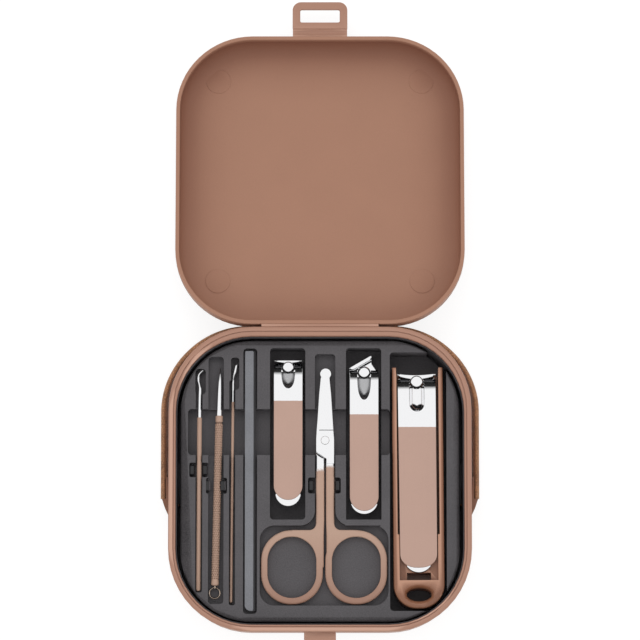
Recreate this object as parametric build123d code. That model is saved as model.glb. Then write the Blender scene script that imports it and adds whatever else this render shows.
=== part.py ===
from build123d import *
import os
from math import cos, radians, tan

# Hinged plastic case, lying open, with a tray of nail-care tools. Millimetres.
# X runs to the right, +Y from the latch to the lid hinge, +Z up.
# The origin is the centre of the underside of the base.

# ---------------------------------------------------------------- case base
base_w = 124.0            # over the rim flange, X
base_l = 125.2            # over the rim flange, Y
base_r = 34.0             # flange corner radius
base_h = 23.5             # underside to rim
base_wall = 2.2           # side wall below the flange
base_floor = 1.8
base_foot_r = 4.0         # rounding where the walls meet the underside
flange_over = 0.8         # flange overhang beyond the wall
flange_t = 2.2
flange_edge_r = 0.5
rim_front = 2.9           # rim width, outer edge to inner wall
rim_back = 4.0
groove_in = 1.8           # outer edge to the fine groove that sets off the bead
groove_w = 0.4
groove_d = 0.4

# ---------------------------------------------------------------- lid and its hinge
lid_drop = 5.67           # the open lid leans down to the table, degrees
lid_inset = 2.4           # closed lid stands in from the flange, sides and front
lid_h = 12.0
lid_wall = 1.6
lid_floor = 1.5
lid_edge_r = 7.0          # outer rounding of the lid's top
lid_disc_r = 4.75
lid_disc_h = 0.15
lid_disc_x = 41.7
lid_disc_y = 42.0
closed_gap = 0.2          # rim to rim when shut
web_l = 48.0
web_w = 1.2               # bending width of the moulded hinge
web_t = 0.5
web_sink = 0.3            # below the rims
web_clear = 0.2

# ---------------------------------------------------------------- hasp and catch
hasp_w = 22.8
hasp_len = 14.8           # lid edge to hasp end
hasp_t = 1.4
hasp_r = 3.5
hasp_web = 3.2            # flexible root that bends round the flange
hasp_root_t = 0.7
window_w = 16.4
window_start = 6.0        # from the lid edge
window_h = 5.5
window_r = 0.6
catch_w = 13.0
catch_clear = 0.4         # catch to window, top and bottom
catch_reach = 1.8         # catch beyond the closed hasp
hasp_gap = 0.9            # closed hasp to flange edge

# ---------------------------------------------------------------- carrying strap
strap_t = 2.2
strap_w = 6.5
strap_z = 2.6             # lower edge
strap_gap = 0.3           # inside of strap to flange, back and corners
strap_bow = 1.5           # inside of strap to flange, along the sides
strap_end_y = -6.9        # front end of the band
strap_nose = 7.1          # tapered end piece beyond the band
strap_lap = 9.0           # end piece under the band
strap_lap_t = 0.7
strap_travel = 10.0       # the loop pulls out this far
stud_w = 5.0
stud_h = 2.6
stud_clear = 0.3
stud_head_t = 0.8
stud_head_over = 1.2

# ---------------------------------------------------------------- tray
tray_drop = 3.6           # tray top below the rim
tray_gap = 2.0            # tray skirt to inner wall
tray_t = 1.2
tray_back_gap = 1.4       # at the hinge side
tray_edge_r = 0.8
skirt_min = 0.45          # skirt left beside a pocket
pocket_r = 1.5
clip_h = 0.5
slim_gap = 0.3            # slim tools to their slots
snug_gap = 0.5            # scissors to their pocket
under_gap = 0.4           # slim tools to their slots' floors
needle_pocket_front = 4.5
needle_pocket_left = 2.9  # beside the needle tool
needle_pocket_right = 0.4
straight_pocket_front = 4.5
slanted_pocket_front = 2.3
clipper_pocket_tail = 5.4
scissors_pocket_front = 5.8
catcher_pocket_front = 6.2
catcher_pocket_side = 1.1
catcher_pocket_wall = 1.3  # on the side of the case wall
snap_short = 6.0          # snap-in places, along the tools
snap_long = 6.6

# ---------------------------------------------------------------- slim tools
# the outer tools keep their distance to the case's sides, the others share the room between
side_left = 12.6          # ear pick to the left side
side_right = 21.9         # large clipper to the right side
ear_x = side_left - base_w / 2
large_x = base_w / 2 - side_right
room = large_x - ear_x
needle_place = 0.090      # places across that room, 0 at the ear pick, 1 at the large clipper
pusher_place = 0.153
file_place = 0.2324
straight_place = 0.4061
scissors_place = 0.5754
slanted_place = 0.7542
slim_drop = 0.4           # slim tools below the tray top
ear_top = base_l / 2 - 17.6
ear_paint_top = ear_top - 19.4
ear_bottom = 16.9 - base_l / 2
ear_d = 1.9
ear_shaft_d = 1.5
ear_lean = 0.25           # degrees
ear_hook_d = 1.1
ear_hook_len = 7.2        # shaft's end to the tip
ear_hook_bow = 0.95       # sideways bow of the neck
ear_hook_reach = 1.3      # sideways reach of the tip
ear_set = 0.2             # thin shaft beside the handle's middle
needle_x = ear_x + needle_place * room
needle_top = base_l / 2 - 16.5
needle_cone = 6.7
needle_paint_top = needle_top - 19.8
needle_bottom = 19.1 - base_l / 2
needle_d = 3.0
needle_shaft_d = 1.9
needle_lean = 1.3
loop_r = 2.35             # wire loop, to the wire's centre
loop_wire_d = 0.5
pusher_x = ear_x + pusher_place * room
pusher_top = base_l / 2 - 14.5
pusher_bend = pusher_top - 7.2
pusher_paint_top = pusher_top - 15.9
pusher_bottom = 12.2 - base_l / 2
pusher_d = 1.4
pusher_blade_w = 3.2
pusher_offset = 1.3       # sideways set of the bent tip
pusher_spade = 5.4        # length of the flared tip
pusher_proud = 0.1        # neck over the round shaft
pusher_lean = 0.45
file_x = ear_x + file_place * room
file_top = base_l / 2 - 9.5
file_bottom = 8.7 - base_l / 2
file_w = 4.5
file_core_t = 1.6
file_face_t = 0.5
file_corner_r = 2.4

# ---------------------------------------------------------------- nail clippers
leaf_t = 1.3
leaf_meet = 12.0          # the leaves touch over this length at the tail
leaf_open = 7.3           # over both leaves behind the jaws
jaw_gap = 0.9             # open jaws
jaw_t = 1.3
pin_d = 0.9
pin_clear = 0.05
knuckle_r = 0.95
lever_t = 1.2
lever_end_clear = 0.15
post_d = 2.3
post_clear = 0.35
post_foot_t = 0.6
post_head_small = 2.05    # radii of the posts' heads
post_head_large = 2.25
rivet_d = 3.0
rivet_head_t = 0.6
pocket_side = 1.4
lip_rise = 0.6            # cutting lip above the upper leaf
lip_clear = 0.3           # cutting lip to the lever's knuckle
small_slot = 8.8          # lever opening behind the post
slanted_slot = 11.3
large_slot = 12.3

small_w = 12.1
small_lever_w = 11.7
straight_tail_gap = 9.6   # lever's tail to the scissors' rings
slanted_tail_gap = 6.6
straight_leaf_short = 1.5  # leaf shorter than post to lever tail
slanted_leaf_short = 2.9
small_z = 9.6             # lower leaf underside above the base underside
small_post = 3.3          # behind the jaw tip
straight_x = ear_x + straight_place * room
straight_y = base_l / 2 - 12.9
slanted_x = ear_x + slanted_place * room
slanted_y = base_l / 2 - 15.1
slant = 34.0              # degrees
slant_rise = 4.4          # jaw apex beyond the jaw's mean front
slant_apex = 3.0          # apex to the right of the centre line
slant_heel = 3.4          # right corner behind the mean front

large_y = base_l / 2 - 18.4
large_w = 15.6
large_lever_w = 15.0
large_z = 7.3
large_post = 3.8
large_open = 9.6
large_hollow = 0.6        # the wide jaws' edge is this concave

# catcher that wraps the large clipper
catcher_w = 20.8
catcher_top_y = large_y + 2.0
catcher_end_y = 9.8 - base_l / 2
large_leaf_len = large_y - catcher_end_y - 19.0
large_lever_len = large_y - large_post - catcher_end_y - 14.5
lever_tail_y = catcher_end_y + 14.5
catcher_t = 1.2           # floor
catcher_bore_gap = 0.8    # leaves to rails
seat_gap = 0.4            # lever to its recess
catcher_clear = 0.15
catcher_shelf_y = lever_tail_y + 15.9     # rails widen from here to the end
catcher_seat_y = lever_tail_y - 2.9       # end of the recess for the lever's tail
keyhole_w = 10.2
keyhole_h = 5.4
keyhole_y = catcher_end_y + 5.8
catcher_h = 13.6
tail_window_w = 9.8
tail_window_h = 3.2
seat_d = 2.6              # recess for the lever's tail

# ---------------------------------------------------------------- scissors
sc_x = ear_x + scissors_place * room
sc_blade_len = 29.8       # pivot to tip
sc_t = 1.4                # one blade
sc_gap = 0.1
sc_tip_y = base_l / 2 - 16.7
sc_y = sc_tip_y - sc_blade_len        # pivot
sc_tip_r = 2.4
sc_blade_tip_w = 4.6
sc_blade_w = 7.4
sc_shank_w = 3.2
sc_shank_gap = 1.1
ring_band = 2.7
ring_corner_r = 3.4       # between shank and ring
ring_edge_r = 0.8
ring_gap = 1.0
ring_side = 2.2           # rings to the file and to the large clipper
ring_left = file_x + file_w / 2 + ring_side
ring_right = large_x - catcher_w / 2 - ring_side
ring_out_w = (ring_right - ring_left - ring_gap) / 2
ring_out_l = 30.5
ring_end_y = 11.4 - base_l / 2
sc_cross = 4.6            # far corner of each half below the pivot
sc_waist = 7.6            # near corner, between the shanks
sc_fit = 0.2              # crossing edge to the other half's shoulder
sc_tip_set = 0.3          # tip to the right of the pivot
rivet_r = 1.75
rivet_fit = 0.05
ring_pocket_r = 6.0
ring_pocket_gap = 1.8     # rings to the pocket's far edge

# finger trough across the tray
trough_y = 19.5
trough_w = 19.0
trough_d = 6.0

# ================================================================ helpers


def slab(w, l, r, z0, z1, x=0.0, y=0.0):
    """Upright block with rounded corners between two heights."""
    return Pos(x, y, z0) * extrude(RectangleRounded(w, l, r), z1 - z0)


def block(x0, x1, y0, y1, z0, z1):
    """Plain block from its limits."""
    return Pos((x0 + x1) / 2, (y0 + y1) / 2, (z0 + z1) / 2) * Box(x1 - x0, y1 - y0, z1 - z0)


def rod(d, y0, y1, x=0.0, z=0.0):
    """Round rod along Y."""
    return Pos(x, (y0 + y1) / 2, z) * Rot(90, 0, 0) * Cylinder(d / 2, y1 - y0)


def pinx(d, x0, x1, y, z):
    """Round pin along X."""
    return Pos((x0 + x1) / 2, y, z) * Rot(0, 90, 0) * Cylinder(d / 2, x1 - x0)


def top_edges(solid):
    """Edges round a solid's highest face."""
    return solid.faces().sort_by(Axis.Z)[-1].edges()


def yz_profile(points, width, x=0.0):
    """Side outline in the YZ plane, given as (y, z) points, extruded across X."""
    wire = Polyline(*[(p[0], p[1]) for p in points], close=True)
    face = make_face(wire)
    solid = extrude(face, width / 2, both=True)
    return Pos(x, 0, 0) * (Plane.YZ * solid)


parts = {}

# ================================================================ case base

rim_side = groove_in + 1.2
inner_w = base_w - 2 * rim_side
inner_l = base_l - rim_front - rim_back
inner_y = (rim_front - rim_back) / 2
inner_r = base_r - rim_side
wall_w = base_w - 2 * flange_over
wall_l = base_l - 2 * flange_over
wall_r = base_r - flange_over
front_y = -base_l / 2
back_y = base_l / 2
tray_z = base_h - tray_drop

# lid hinge axis, half way across the web, just over the rim
hinge_y = back_y + web_w / 2
hinge_z = base_h + closed_gap / 2
lid_w = base_w - 2 * lid_inset
lid_l = base_l - lid_inset
lid_r = base_r - lid_inset
lid_edge = web_w / 2 + lid_l          # hinge axis to the lid's free edge

# hasp axis: clears the flange edge when the hasp is folded down
hasp_axis = web_w / 2 + base_l + hasp_gap - closed_gap / 2
hasp_root = lid_edge + hasp_web
window_lo = lid_edge + window_start
window_hi = window_lo + window_h

# closed heights of the window give the catch its place
catch_top = base_h + closed_gap / 2 - (window_lo - hasp_axis) - catch_clear
catch_bottom = base_h + closed_gap / 2 - (window_hi - hasp_axis) + catch_clear
catch_y = front_y - hasp_gap - hasp_t - catch_reach


def make_base():
    body = slab(wall_w, wall_l, wall_r, 0, base_h - flange_t / 2)
    body = fillet(body.faces().sort_by(Axis.Z)[0].edges(), base_foot_r)
    flange = slab(base_w, base_l, base_r, base_h - flange_t, base_h)
    flange = fillet(top_edges(flange), flange_edge_r)
    groove = slab(base_w - 2 * groove_in, base_l - 2 * groove_in, base_r - groove_in,
                  base_h - groove_d, base_h + 1)
    land = base_w - 2 * (groove_in + groove_w)
    groove -= slab(land, land + base_l - base_w, base_r - groove_in - groove_w,
                   base_h - 2 * groove_d, base_h + 2)
    cavity = slab(inner_w, inner_l, inner_r, base_floor, base_h + 1, y=inner_y)
    catch = yz_profile([(front_y + flange_over + 1, catch_bottom), (catch_y + 0.6, catch_bottom),
                        (catch_y, catch_bottom + 0.9), (catch_y, catch_top - 1.6),
                        (catch_y + 1.4, catch_top), (front_y + flange_over + 1, catch_top)], catch_w)
    shell = body + flange + catch - cavity - groove
    # slots where the strap's studs run
    for side in (-1, 1):
        x_out = side * base_w / 2
        x_in = side * (inner_w / 2 - 1)
        shell -= block(min(x_out, x_in), max(x_out, x_in),
                       stud_y - stud_w / 2 - stud_clear, stud_y + stud_w / 2 + strap_travel + stud_clear,
                       stud_z - stud_h / 2 - stud_clear, stud_z + stud_h / 2 + stud_clear)
    return shell


# ================================================================ strap

stud_y = strap_end_y + 1.0
stud_z = strap_z + strap_w / 2


def strap_solid(extra, over):
    """Rounded block `extra` outside the strap's inner face, standing `over` above and below the strap."""
    w = base_w + 2 * strap_bow
    l = base_l + 2 * strap_gap
    return slab(w + 2 * extra, l + 2 * extra, base_r + strap_gap + extra, strap_z - over,
                strap_z + strap_w + over)


def make_strap():
    ring = strap_solid(strap_t, 0.0) - strap_solid(0.0, 1.0)
    return ring & block(-base_w, base_w, strap_end_y, base_l, strap_z - 1, strap_z + strap_w + 1)


def make_strap_end(side):
    """Tapered end piece: laps inside the band, with a headed stud through the wall."""
    inside = base_w / 2 + strap_bow - strap_lap_t - 0.05
    outside = base_w / 2 + strap_bow + strap_t * 0.75
    nose_y = strap_end_y - strap_nose
    z0 = strap_z + 0.3
    z1 = strap_z + strap_w - 0.3
    lap = block(inside, inside + strap_lap_t, strap_end_y - 0.1, strap_end_y + strap_lap, z0, z1)
    nose = make_face(Polyline((inside, strap_end_y), (outside, strap_end_y),
                              (outside - 0.9, strap_end_y - strap_nose * 0.5),
                              (inside + 0.35, nose_y + 0.3), (inside, nose_y), close=True))
    piece = lap + Pos(0, 0, z0) * extrude(nose, z1 - z0)
    head_x = inner_w / 2 - stud_clear
    piece += block(head_x - 0.1, inside + 0.1, stud_y - stud_w / 2, stud_y + stud_w / 2,
                   stud_z - stud_h / 2, stud_z + stud_h / 2)
    piece += block(head_x - stud_head_t, head_x, stud_y - stud_w / 2 - stud_head_over,
                   stud_y + stud_w / 2 + stud_head_over,
                   stud_z - stud_h / 2 - stud_head_over, stud_z + stud_h / 2 + stud_head_over)
    return piece if side > 0 else mirror(piece, Plane.YZ)


# ================================================================ lid (built flat open, then dropped)


def open_pose(solid):
    """Turn a piece of the flat-open lid about the hinge axis to where it rests."""
    return Pos(0, hinge_y, hinge_z) * Rot(-lid_drop, 0, 0) * Pos(0, -hinge_y, -hinge_z) * solid


lid_rim_z = hinge_z - closed_gap / 2
lid_mid_y = hinge_y + web_w / 2 + lid_l / 2


def make_lid():
    top = lid_rim_z
    bottom = top - lid_h
    shell = slab(lid_w, lid_l, lid_r, bottom, top, y=lid_mid_y)
    shell = fillet(shell.faces().sort_by(Axis.Z)[0].edges(), lid_edge_r)
    inside = slab(lid_w - 2 * lid_wall, lid_l - 2 * lid_wall, lid_r - lid_wall,
                  bottom + lid_floor, top + 1, y=lid_mid_y)
    inside = fillet(inside.faces().sort_by(Axis.Z)[0].edges(), lid_edge_r - lid_wall)
    shell -= inside
    for sx in (-1, 1):
        for sy in (-1, 1):
            shell += Pos(sx * lid_disc_x, lid_mid_y + sy * lid_disc_y,
                         bottom + lid_floor + lid_disc_h / 2 - 0.2) * Cylinder(lid_disc_r, lid_disc_h + 0.4)
    return open_pose(shell)


def make_hinge_web():
    top = base_h - web_sink
    return block(-web_l / 2, web_l / 2, back_y, back_y + web_w - web_clear, top - web_t, top)


def make_hasp_web():
    y0 = hinge_y + lid_edge
    return open_pose(block(-hasp_w / 2, hasp_w / 2, y0, y0 + hasp_web, lid_rim_z - hasp_t,
                           lid_rim_z - hasp_t + hasp_root_t))


def make_hasp():
    y0 = hinge_y + hasp_root + 0.05
    y1 = hinge_y + lid_edge + hasp_len
    plate = block(-hasp_w / 2, hasp_w / 2, y0, y1, lid_rim_z - hasp_t, lid_rim_z)
    plate = fillet(plate.edges().filter_by(Axis.Z).group_by(Axis.Y)[-1], hasp_r)
    plate -= slab(window_w, window_h, window_r, lid_rim_z - hasp_t - 1, lid_rim_z + 1,
                  y=hinge_y + (window_lo + window_hi) / 2)
    return open_pose(plate)


# ================================================================ slim tools

slim_z = tray_z - slim_drop            # top of the slim tools


def lean(solid, degrees_, x, y):
    """Lean a slim tool in plan about a point."""
    return Pos(x, y, 0) * Rot(0, 0, degrees_) * Pos(-x, -y, 0) * solid


def ear_z():
    return slim_z - ear_d / 2


def make_ear_handle():
    return lean(rod(ear_d, ear_bottom, ear_paint_top, ear_x, ear_z()), -ear_lean, ear_x, ear_paint_top)


def make_ear_spoon():
    z = ear_z()
    x = ear_x + ear_set
    start = ear_top - ear_hook_len
    shaft = rod(ear_shaft_d, ear_paint_top, start, x, z)
    neck = Spline((x, start - 0.2, z), (x - 0.3 * ear_hook_bow, start + 0.22 * ear_hook_len, z),
                  (x - ear_hook_bow, start + 0.53 * ear_hook_len, z),
                  (x + 0.1 * ear_hook_reach, start + 0.82 * ear_hook_len, z),
                  (x + ear_hook_reach, ear_top - 0.1, z))
    hook = sweep(Plane(neck @ 0, z_dir=neck % 0) * Circle(ear_hook_d / 2), path=neck)
    return shaft + hook


def needle_z():
    return slim_z - needle_d / 2


def make_needle_handle():
    return lean(rod(needle_d, needle_bottom, needle_paint_top, needle_x, needle_z()),
                -needle_lean, needle_x, needle_paint_top)


def make_needle_tip():
    z = needle_z()
    shaft = rod(needle_shaft_d, needle_paint_top, needle_top - needle_cone, needle_x, z)
    half = needle_cone / 2
    cone = Pos(needle_x, needle_top - half, z) * Rot(-90, 0, 0) * Cone(needle_shaft_d / 2, 0.12, needle_cone)
    return lean(shaft + cone, -needle_lean, needle_x, needle_paint_top)


def make_needle_loop():
    z = needle_z()
    ring = Pos(needle_x, needle_bottom - loop_r - 0.8, z) * Torus(loop_r, loop_wire_d / 2)
    stem = rod(loop_wire_d, needle_bottom - 1.0, needle_bottom, needle_x, z)
    return lean(ring + stem, -needle_lean, needle_x, needle_paint_top)


def pusher_z():
    return slim_z - pusher_blade_w / 2


def make_pusher_handle():
    shaft = rod(pusher_d, pusher_bottom, pusher_paint_top, pusher_x, pusher_z())
    return lean(shaft, -pusher_lean, pusher_x, pusher_paint_top)


def make_pusher_blade():
    z = pusher_z()
    shaft = rod(pusher_d, pusher_paint_top, pusher_bend, pusher_x, z)
    near = pusher_d / 2 + pusher_proud
    bend = make_face(Polyline((pusher_x - near, pusher_bend - 0.6), (pusher_x + near, pusher_bend - 0.6),
                              (pusher_x + near + pusher_offset, pusher_top),
                              (pusher_x - near + pusher_offset + 0.3, pusher_top), close=True))
    # seen along the bend: a narrow neck that flares to the spade
    spade = make_face(Polyline((pusher_bend - 0.6, -near), (pusher_top - pusher_spade, -near),
                               (pusher_top - pusher_spade * 0.6, -pusher_blade_w / 2),
                               (pusher_top, -pusher_blade_w / 2), (pusher_top, pusher_blade_w / 2),
                               (pusher_top - pusher_spade * 0.6, pusher_blade_w / 2),
                               (pusher_top - pusher_spade, near), (pusher_bend - 0.6, near), close=True))
    across = Pos(pusher_x, 0, z) * (Plane.YZ * extrude(spade, 5, both=True))
    return shaft + (Pos(0, 0, z - 5) * extrude(bend, 10) & across)


file_z = slim_z - file_core_t - 2 * file_face_t


def file_slab(z0, z1):
    plate = block(file_x - file_w / 2, file_x + file_w / 2, file_bottom, file_top, z0, z1)
    corner = plate.edges().filter_by(Axis.Z).group_by(Axis.Y)[0].sort_by(Axis.X)[0]
    plate = fillet([corner], file_corner_r)
    far = plate.edges().filter_by(Axis.Z).group_by(Axis.Y)[-1]
    return fillet(far, 0.6)


# ================================================================ nail clippers


class Clipper:
    """One lever nail clipper; s runs back from the jaw tip, w up from the lower leaf's underside."""

    def __init__(self, x, y, z, width, lever_w, leaf_len, lever_len, post, over_leaves, rise=0.0,
                 hollow=0.0):
        self.x = x
        self.y = y
        self.z = z
        self.width = width
        self.lever_w = lever_w
        self.leaf_len = leaf_len
        self.lever_len = lever_len
        self.post = post
        self.rise = rise
        self.hollow = hollow
        self.mid = over_leaves / 2
        self.pin_w = over_leaves + knuckle_r + lever_end_clear

    def at(self, s, w):
        return (self.y - s, self.z + w)

    def leaf(self, upper):
        """Spring leaf: flat at the tail, spreading towards the jaws, with a turned cutting lip."""
        m = self.mid
        thin = leaf_t + 0.02
        flat_s = self.leaf_len - leaf_meet
        top = m + lip_rise if upper else m
        if self.rise:
            outer = [(self.leaf_len, thin), (flat_s, thin), (jaw_t + 5.5, m), (-self.rise, m)]
            inner = [(-self.rise, m - leaf_t), (jaw_t + 5.5, m - leaf_t), (flat_s, 0.02),
                     (self.leaf_len, 0.02)]
        else:
            outer = [(self.leaf_len, thin), (flat_s, thin), (jaw_t + 5.5, m), (jaw_t + 0.5, m), (jaw_t, top),
                     (jaw_t * 0.5, top), (0.0, jaw_gap / 2 + 1.1), (0.0, jaw_gap / 2)]
            inner = [(jaw_t * 0.35, jaw_gap / 2), (jaw_t, jaw_gap / 2 + 0.9), (jaw_t + 0.4, m - leaf_t),
                     (jaw_t + 5.5, m - leaf_t), (flat_s, 0.02), (self.leaf_len, 0.02)]
        sign = 1 if upper else -1
        leaf = yz_profile([self.at(s, m + sign * d) for s, d in outer + inner], self.width, self.x)
        tail = [e for e in leaf.edges().filter_by(Axis.Z) if e.center().Y < self.y - self.leaf_len + 0.5]
        leaf = fillet(tail, self.width * 0.3)
        if self.rise:
            leaf = self.slanted_front(leaf, sign, top)
        if self.hollow:
            r = (self.width ** 2 / 4 + self.hollow ** 2) / (2 * self.hollow)
            leaf -= Pos(self.x, self.y + r - self.hollow, self.z + m) * Cylinder(r, 6 * m)
        hole_r = post_d / 2 + (post_clear if upper else 0.0)
        leaf -= Pos(self.x, self.post_y(), self.z + m) * Cylinder(hole_r, 4 * m)
        riv_r = rivet_d / 2 + (0.1 if upper else 0.0)
        return leaf - Pos(self.x, self.rivet_y(), self.z + m) * Cylinder(riv_r, 4 * m)

    def slanted_front(self, leaf, sign, top):
        """Trim the front to a slanted edge and turn a cutting lip along it."""
        w2 = self.width / 2
        apex = (self.x + slant_apex, self.y + self.rise)
        run = w2 + slant_apex
        left = (self.x - w2, apex[1] - run * tan(radians(slant)))
        heel = (self.x + w2, self.y - slant_heel)
        tail_y = self.y - self.leaf_len - 1
        plan = make_face(Polyline((self.x - w2, tail_y), left, apex, heel, (self.x + w2, tail_y), close=True))
        leaf &= Pos(0, 0, self.z - 5) * extrude(plan, 2 * self.mid + 10)
        edge = run / cos(radians(slant))
        lip = Box(edge, jaw_t, top - jaw_gap / 2)
        mid = ((left[0] + apex[0]) / 2, (left[1] + apex[1]) / 2)
        height = self.z + self.mid + sign * (top + jaw_gap / 2) / 2
        lip = Pos(mid[0], mid[1], height) * Rot(0, 0, slant) * Pos(0, -jaw_t / 2, 0) * lip
        # the raised lip stops short of the lever's knuckle
        knuckle_y = self.post_y() + knuckle_r + lip_clear
        lip -= block(self.x - self.width, self.x + self.width, tail_y, knuckle_y,
                     self.z + 2 * self.mid - 0.1, self.z + 4 * self.mid)
        return leaf + (lip & Pos(0, 0, self.z - 5) * extrude(plan, 2 * self.mid + 10))

    def post_y(self):
        return self.y - self.post

    def rivet_y(self):
        return self.y - self.leaf_len + leaf_meet * 0.45

    def rivet(self):
        m = self.z + self.mid
        y = self.rivet_y()
        low = m - leaf_t - 0.02
        high = m + leaf_t + 0.02 + 0.3
        shank = Pos(self.x, y, (low + high) / 2) * Cylinder(rivet_d / 2, high - low)
        head = Pos(self.x, y, high + rivet_head_t / 2) * Cylinder(rivet_d / 2 + 0.6, rivet_head_t)
        return shank + head

    def post_piece(self):
        """Post through both leaves; its forked top holds the cross pin."""
        top = self.z + self.pin_w + 1.1
        bottom = self.z - post_foot_t
        y = self.post_y()
        shaft = Pos(self.x, y, (bottom + top) / 2) * Cylinder(post_d / 2, top - bottom)
        foot = Pos(self.x, y, bottom + post_foot_t / 2) * Cylinder(post_d / 2 + 0.9, post_foot_t)
        head = Pos(self.x, y, top - 0.75) * Cylinder(self.head_r(), 1.5)
        head = fillet(top_edges(head), 0.4)
        piece = shaft + foot + head
        return piece - pinx(pin_d, self.x - 5, self.x + 5, y, self.z + self.pin_w)

    def head_r(self):
        return post_head_small if self.width < large_w else post_head_large

    def slot_half(self):
        return self.head_r() + 0.75

    def pin(self):
        reach = self.lever_w / 2 - 0.7
        return pinx(pin_d, self.x - reach, self.x + reach, self.y - self.post, self.z + self.pin_w)

    def lever(self, slot_len, straight_slot):
        """Folded lever: a plate with a knuckle each side of the post and an opening behind it."""
        y_pin = self.y - self.post
        z_pin = self.z + self.pin_w
        y_end = y_pin - self.lever_len
        plate = block(self.x - self.lever_w / 2, self.x + self.lever_w / 2, y_end, y_pin - 0.1,
                      z_pin + knuckle_r - lever_t, z_pin + knuckle_r)
        tail = plate.edges().filter_by(Axis.Z).group_by(Axis.Y)[0]
        plate = fillet(tail, self.lever_w * 0.42)
        knuckle = pinx(2 * knuckle_r, self.x - self.lever_w / 2, self.x + self.lever_w / 2, y_pin, z_pin)
        lever = plate + knuckle
        half = self.slot_half()
        z_lo = z_pin - 2
        y_far = y_pin - slot_len
        if straight_slot:
            slot = block(self.x - half, self.x + half, y_far + half, y_pin + 3, z_lo, z_pin + 3)
            slot += Pos(self.x, y_far + half, z_pin + 0.5) * Cylinder(half, 5)
        else:
            tip_r = half * 0.5
            drop = make_face(Polyline((self.x - half, y_pin + 3), (self.x - half, y_pin - 1.5),
                                      (self.x - tip_r, y_far + tip_r), (self.x + tip_r, y_far + tip_r),
                                      (self.x + half, y_pin - 1.5), (self.x + half, y_pin + 3), close=True))
            slot = Pos(0, 0, z_lo) * extrude(drop, 5)
            slot += Pos(self.x, y_far + tip_r + 0.1, z_pin + 0.5) * Cylinder(tip_r, 5)
        lever -= slot
        reach = self.lever_w / 2 - 0.7 + pin_clear
        lever -= pinx(pin_d + 2 * pin_clear, self.x - reach, self.x + reach, y_pin, z_pin)
        return lever


# the small clippers' levers end short of the scissors' rings
ring_top_y = ring_end_y + ring_out_l
straight_lever_len = straight_y - small_post - ring_top_y - straight_tail_gap
slanted_lever_len = slanted_y - small_post - ring_top_y - slanted_tail_gap
straight = Clipper(straight_x, straight_y, small_z, small_w, small_lever_w,
                   straight_lever_len - straight_leaf_short, straight_lever_len, small_post, leaf_open)
slanted = Clipper(slanted_x, slanted_y, small_z, small_w, small_lever_w,
                  slanted_lever_len - slanted_leaf_short, slanted_lever_len, small_post, leaf_open,
                  rise=slant_rise)
large = Clipper(large_x, large_y, large_z, large_w, large_lever_w, large_leaf_len,
                large_lever_len, large_post, large_open, hollow=large_hollow)


catcher_z = large_z - post_foot_t - catcher_clear - catcher_t


def make_catcher():
    """Open-topped sleeve round the large clipper, rounded at its tail, with a keyring hole."""
    z0 = catcher_z
    z1 = z0 + catcher_h
    body = block(large_x - catcher_w / 2, large_x + catcher_w / 2, catcher_end_y, catcher_top_y, z0, z1)
    ends = body.edges().filter_by(Axis.Z).group_by(Axis.Y)[0]
    body = fillet(ends, catcher_w * 0.47)
    rims = [e for e in top_edges(body) if e.center().Y < catcher_top_y - 1]
    body = fillet(rims, 0.6)
    bore = large_w / 2 + catcher_bore_gap
    tail_y = large.y - large.leaf_len - 1.0
    body -= block(large_x - bore, large_x + bore, catcher_shelf_y, catcher_top_y + 1, z0 + catcher_t, z1 + 1)
    tunnel = large.z + large.mid + leaf_t + rivet_head_t + 0.8
    body -= block(large_x - bore, large_x + bore, tail_y, catcher_shelf_y + 1, z0 + catcher_t, tunnel)
    seat = large_lever_w / 2 + seat_gap
    body -= block(large_x - seat, large_x + seat, catcher_seat_y, catcher_shelf_y + 1, z1 - seat_d, z1 + 1)
    body -= block(large_x - tail_window_w / 2, large_x + tail_window_w / 2, catcher_seat_y,
                  catcher_seat_y + tail_window_h, z0 + catcher_t, z1 + 1)
    keyhole = extrude(Ellipse(keyhole_w / 2, keyhole_h / 2), catcher_h + 3)
    return body - Pos(large_x, keyhole_y, z0 - 1) * keyhole


# ================================================================ scissors

sc_z = slim_z - 2 * sc_t - sc_gap - 0.1


def ring_x(side):
    return (ring_left + ring_right) / 2 + side * (ring_out_w / 2 + ring_gap / 2)


def shoulder_y(x):
    """Height in plan of one half's crossing edge where the other's shank meets it."""
    across = sc_blade_w / 2 + sc_shank_gap / 2
    share = (abs(x - sc_x) + sc_shank_gap / 2) / across
    return sc_y - sc_waist + (sc_waist - sc_cross) * share


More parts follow.
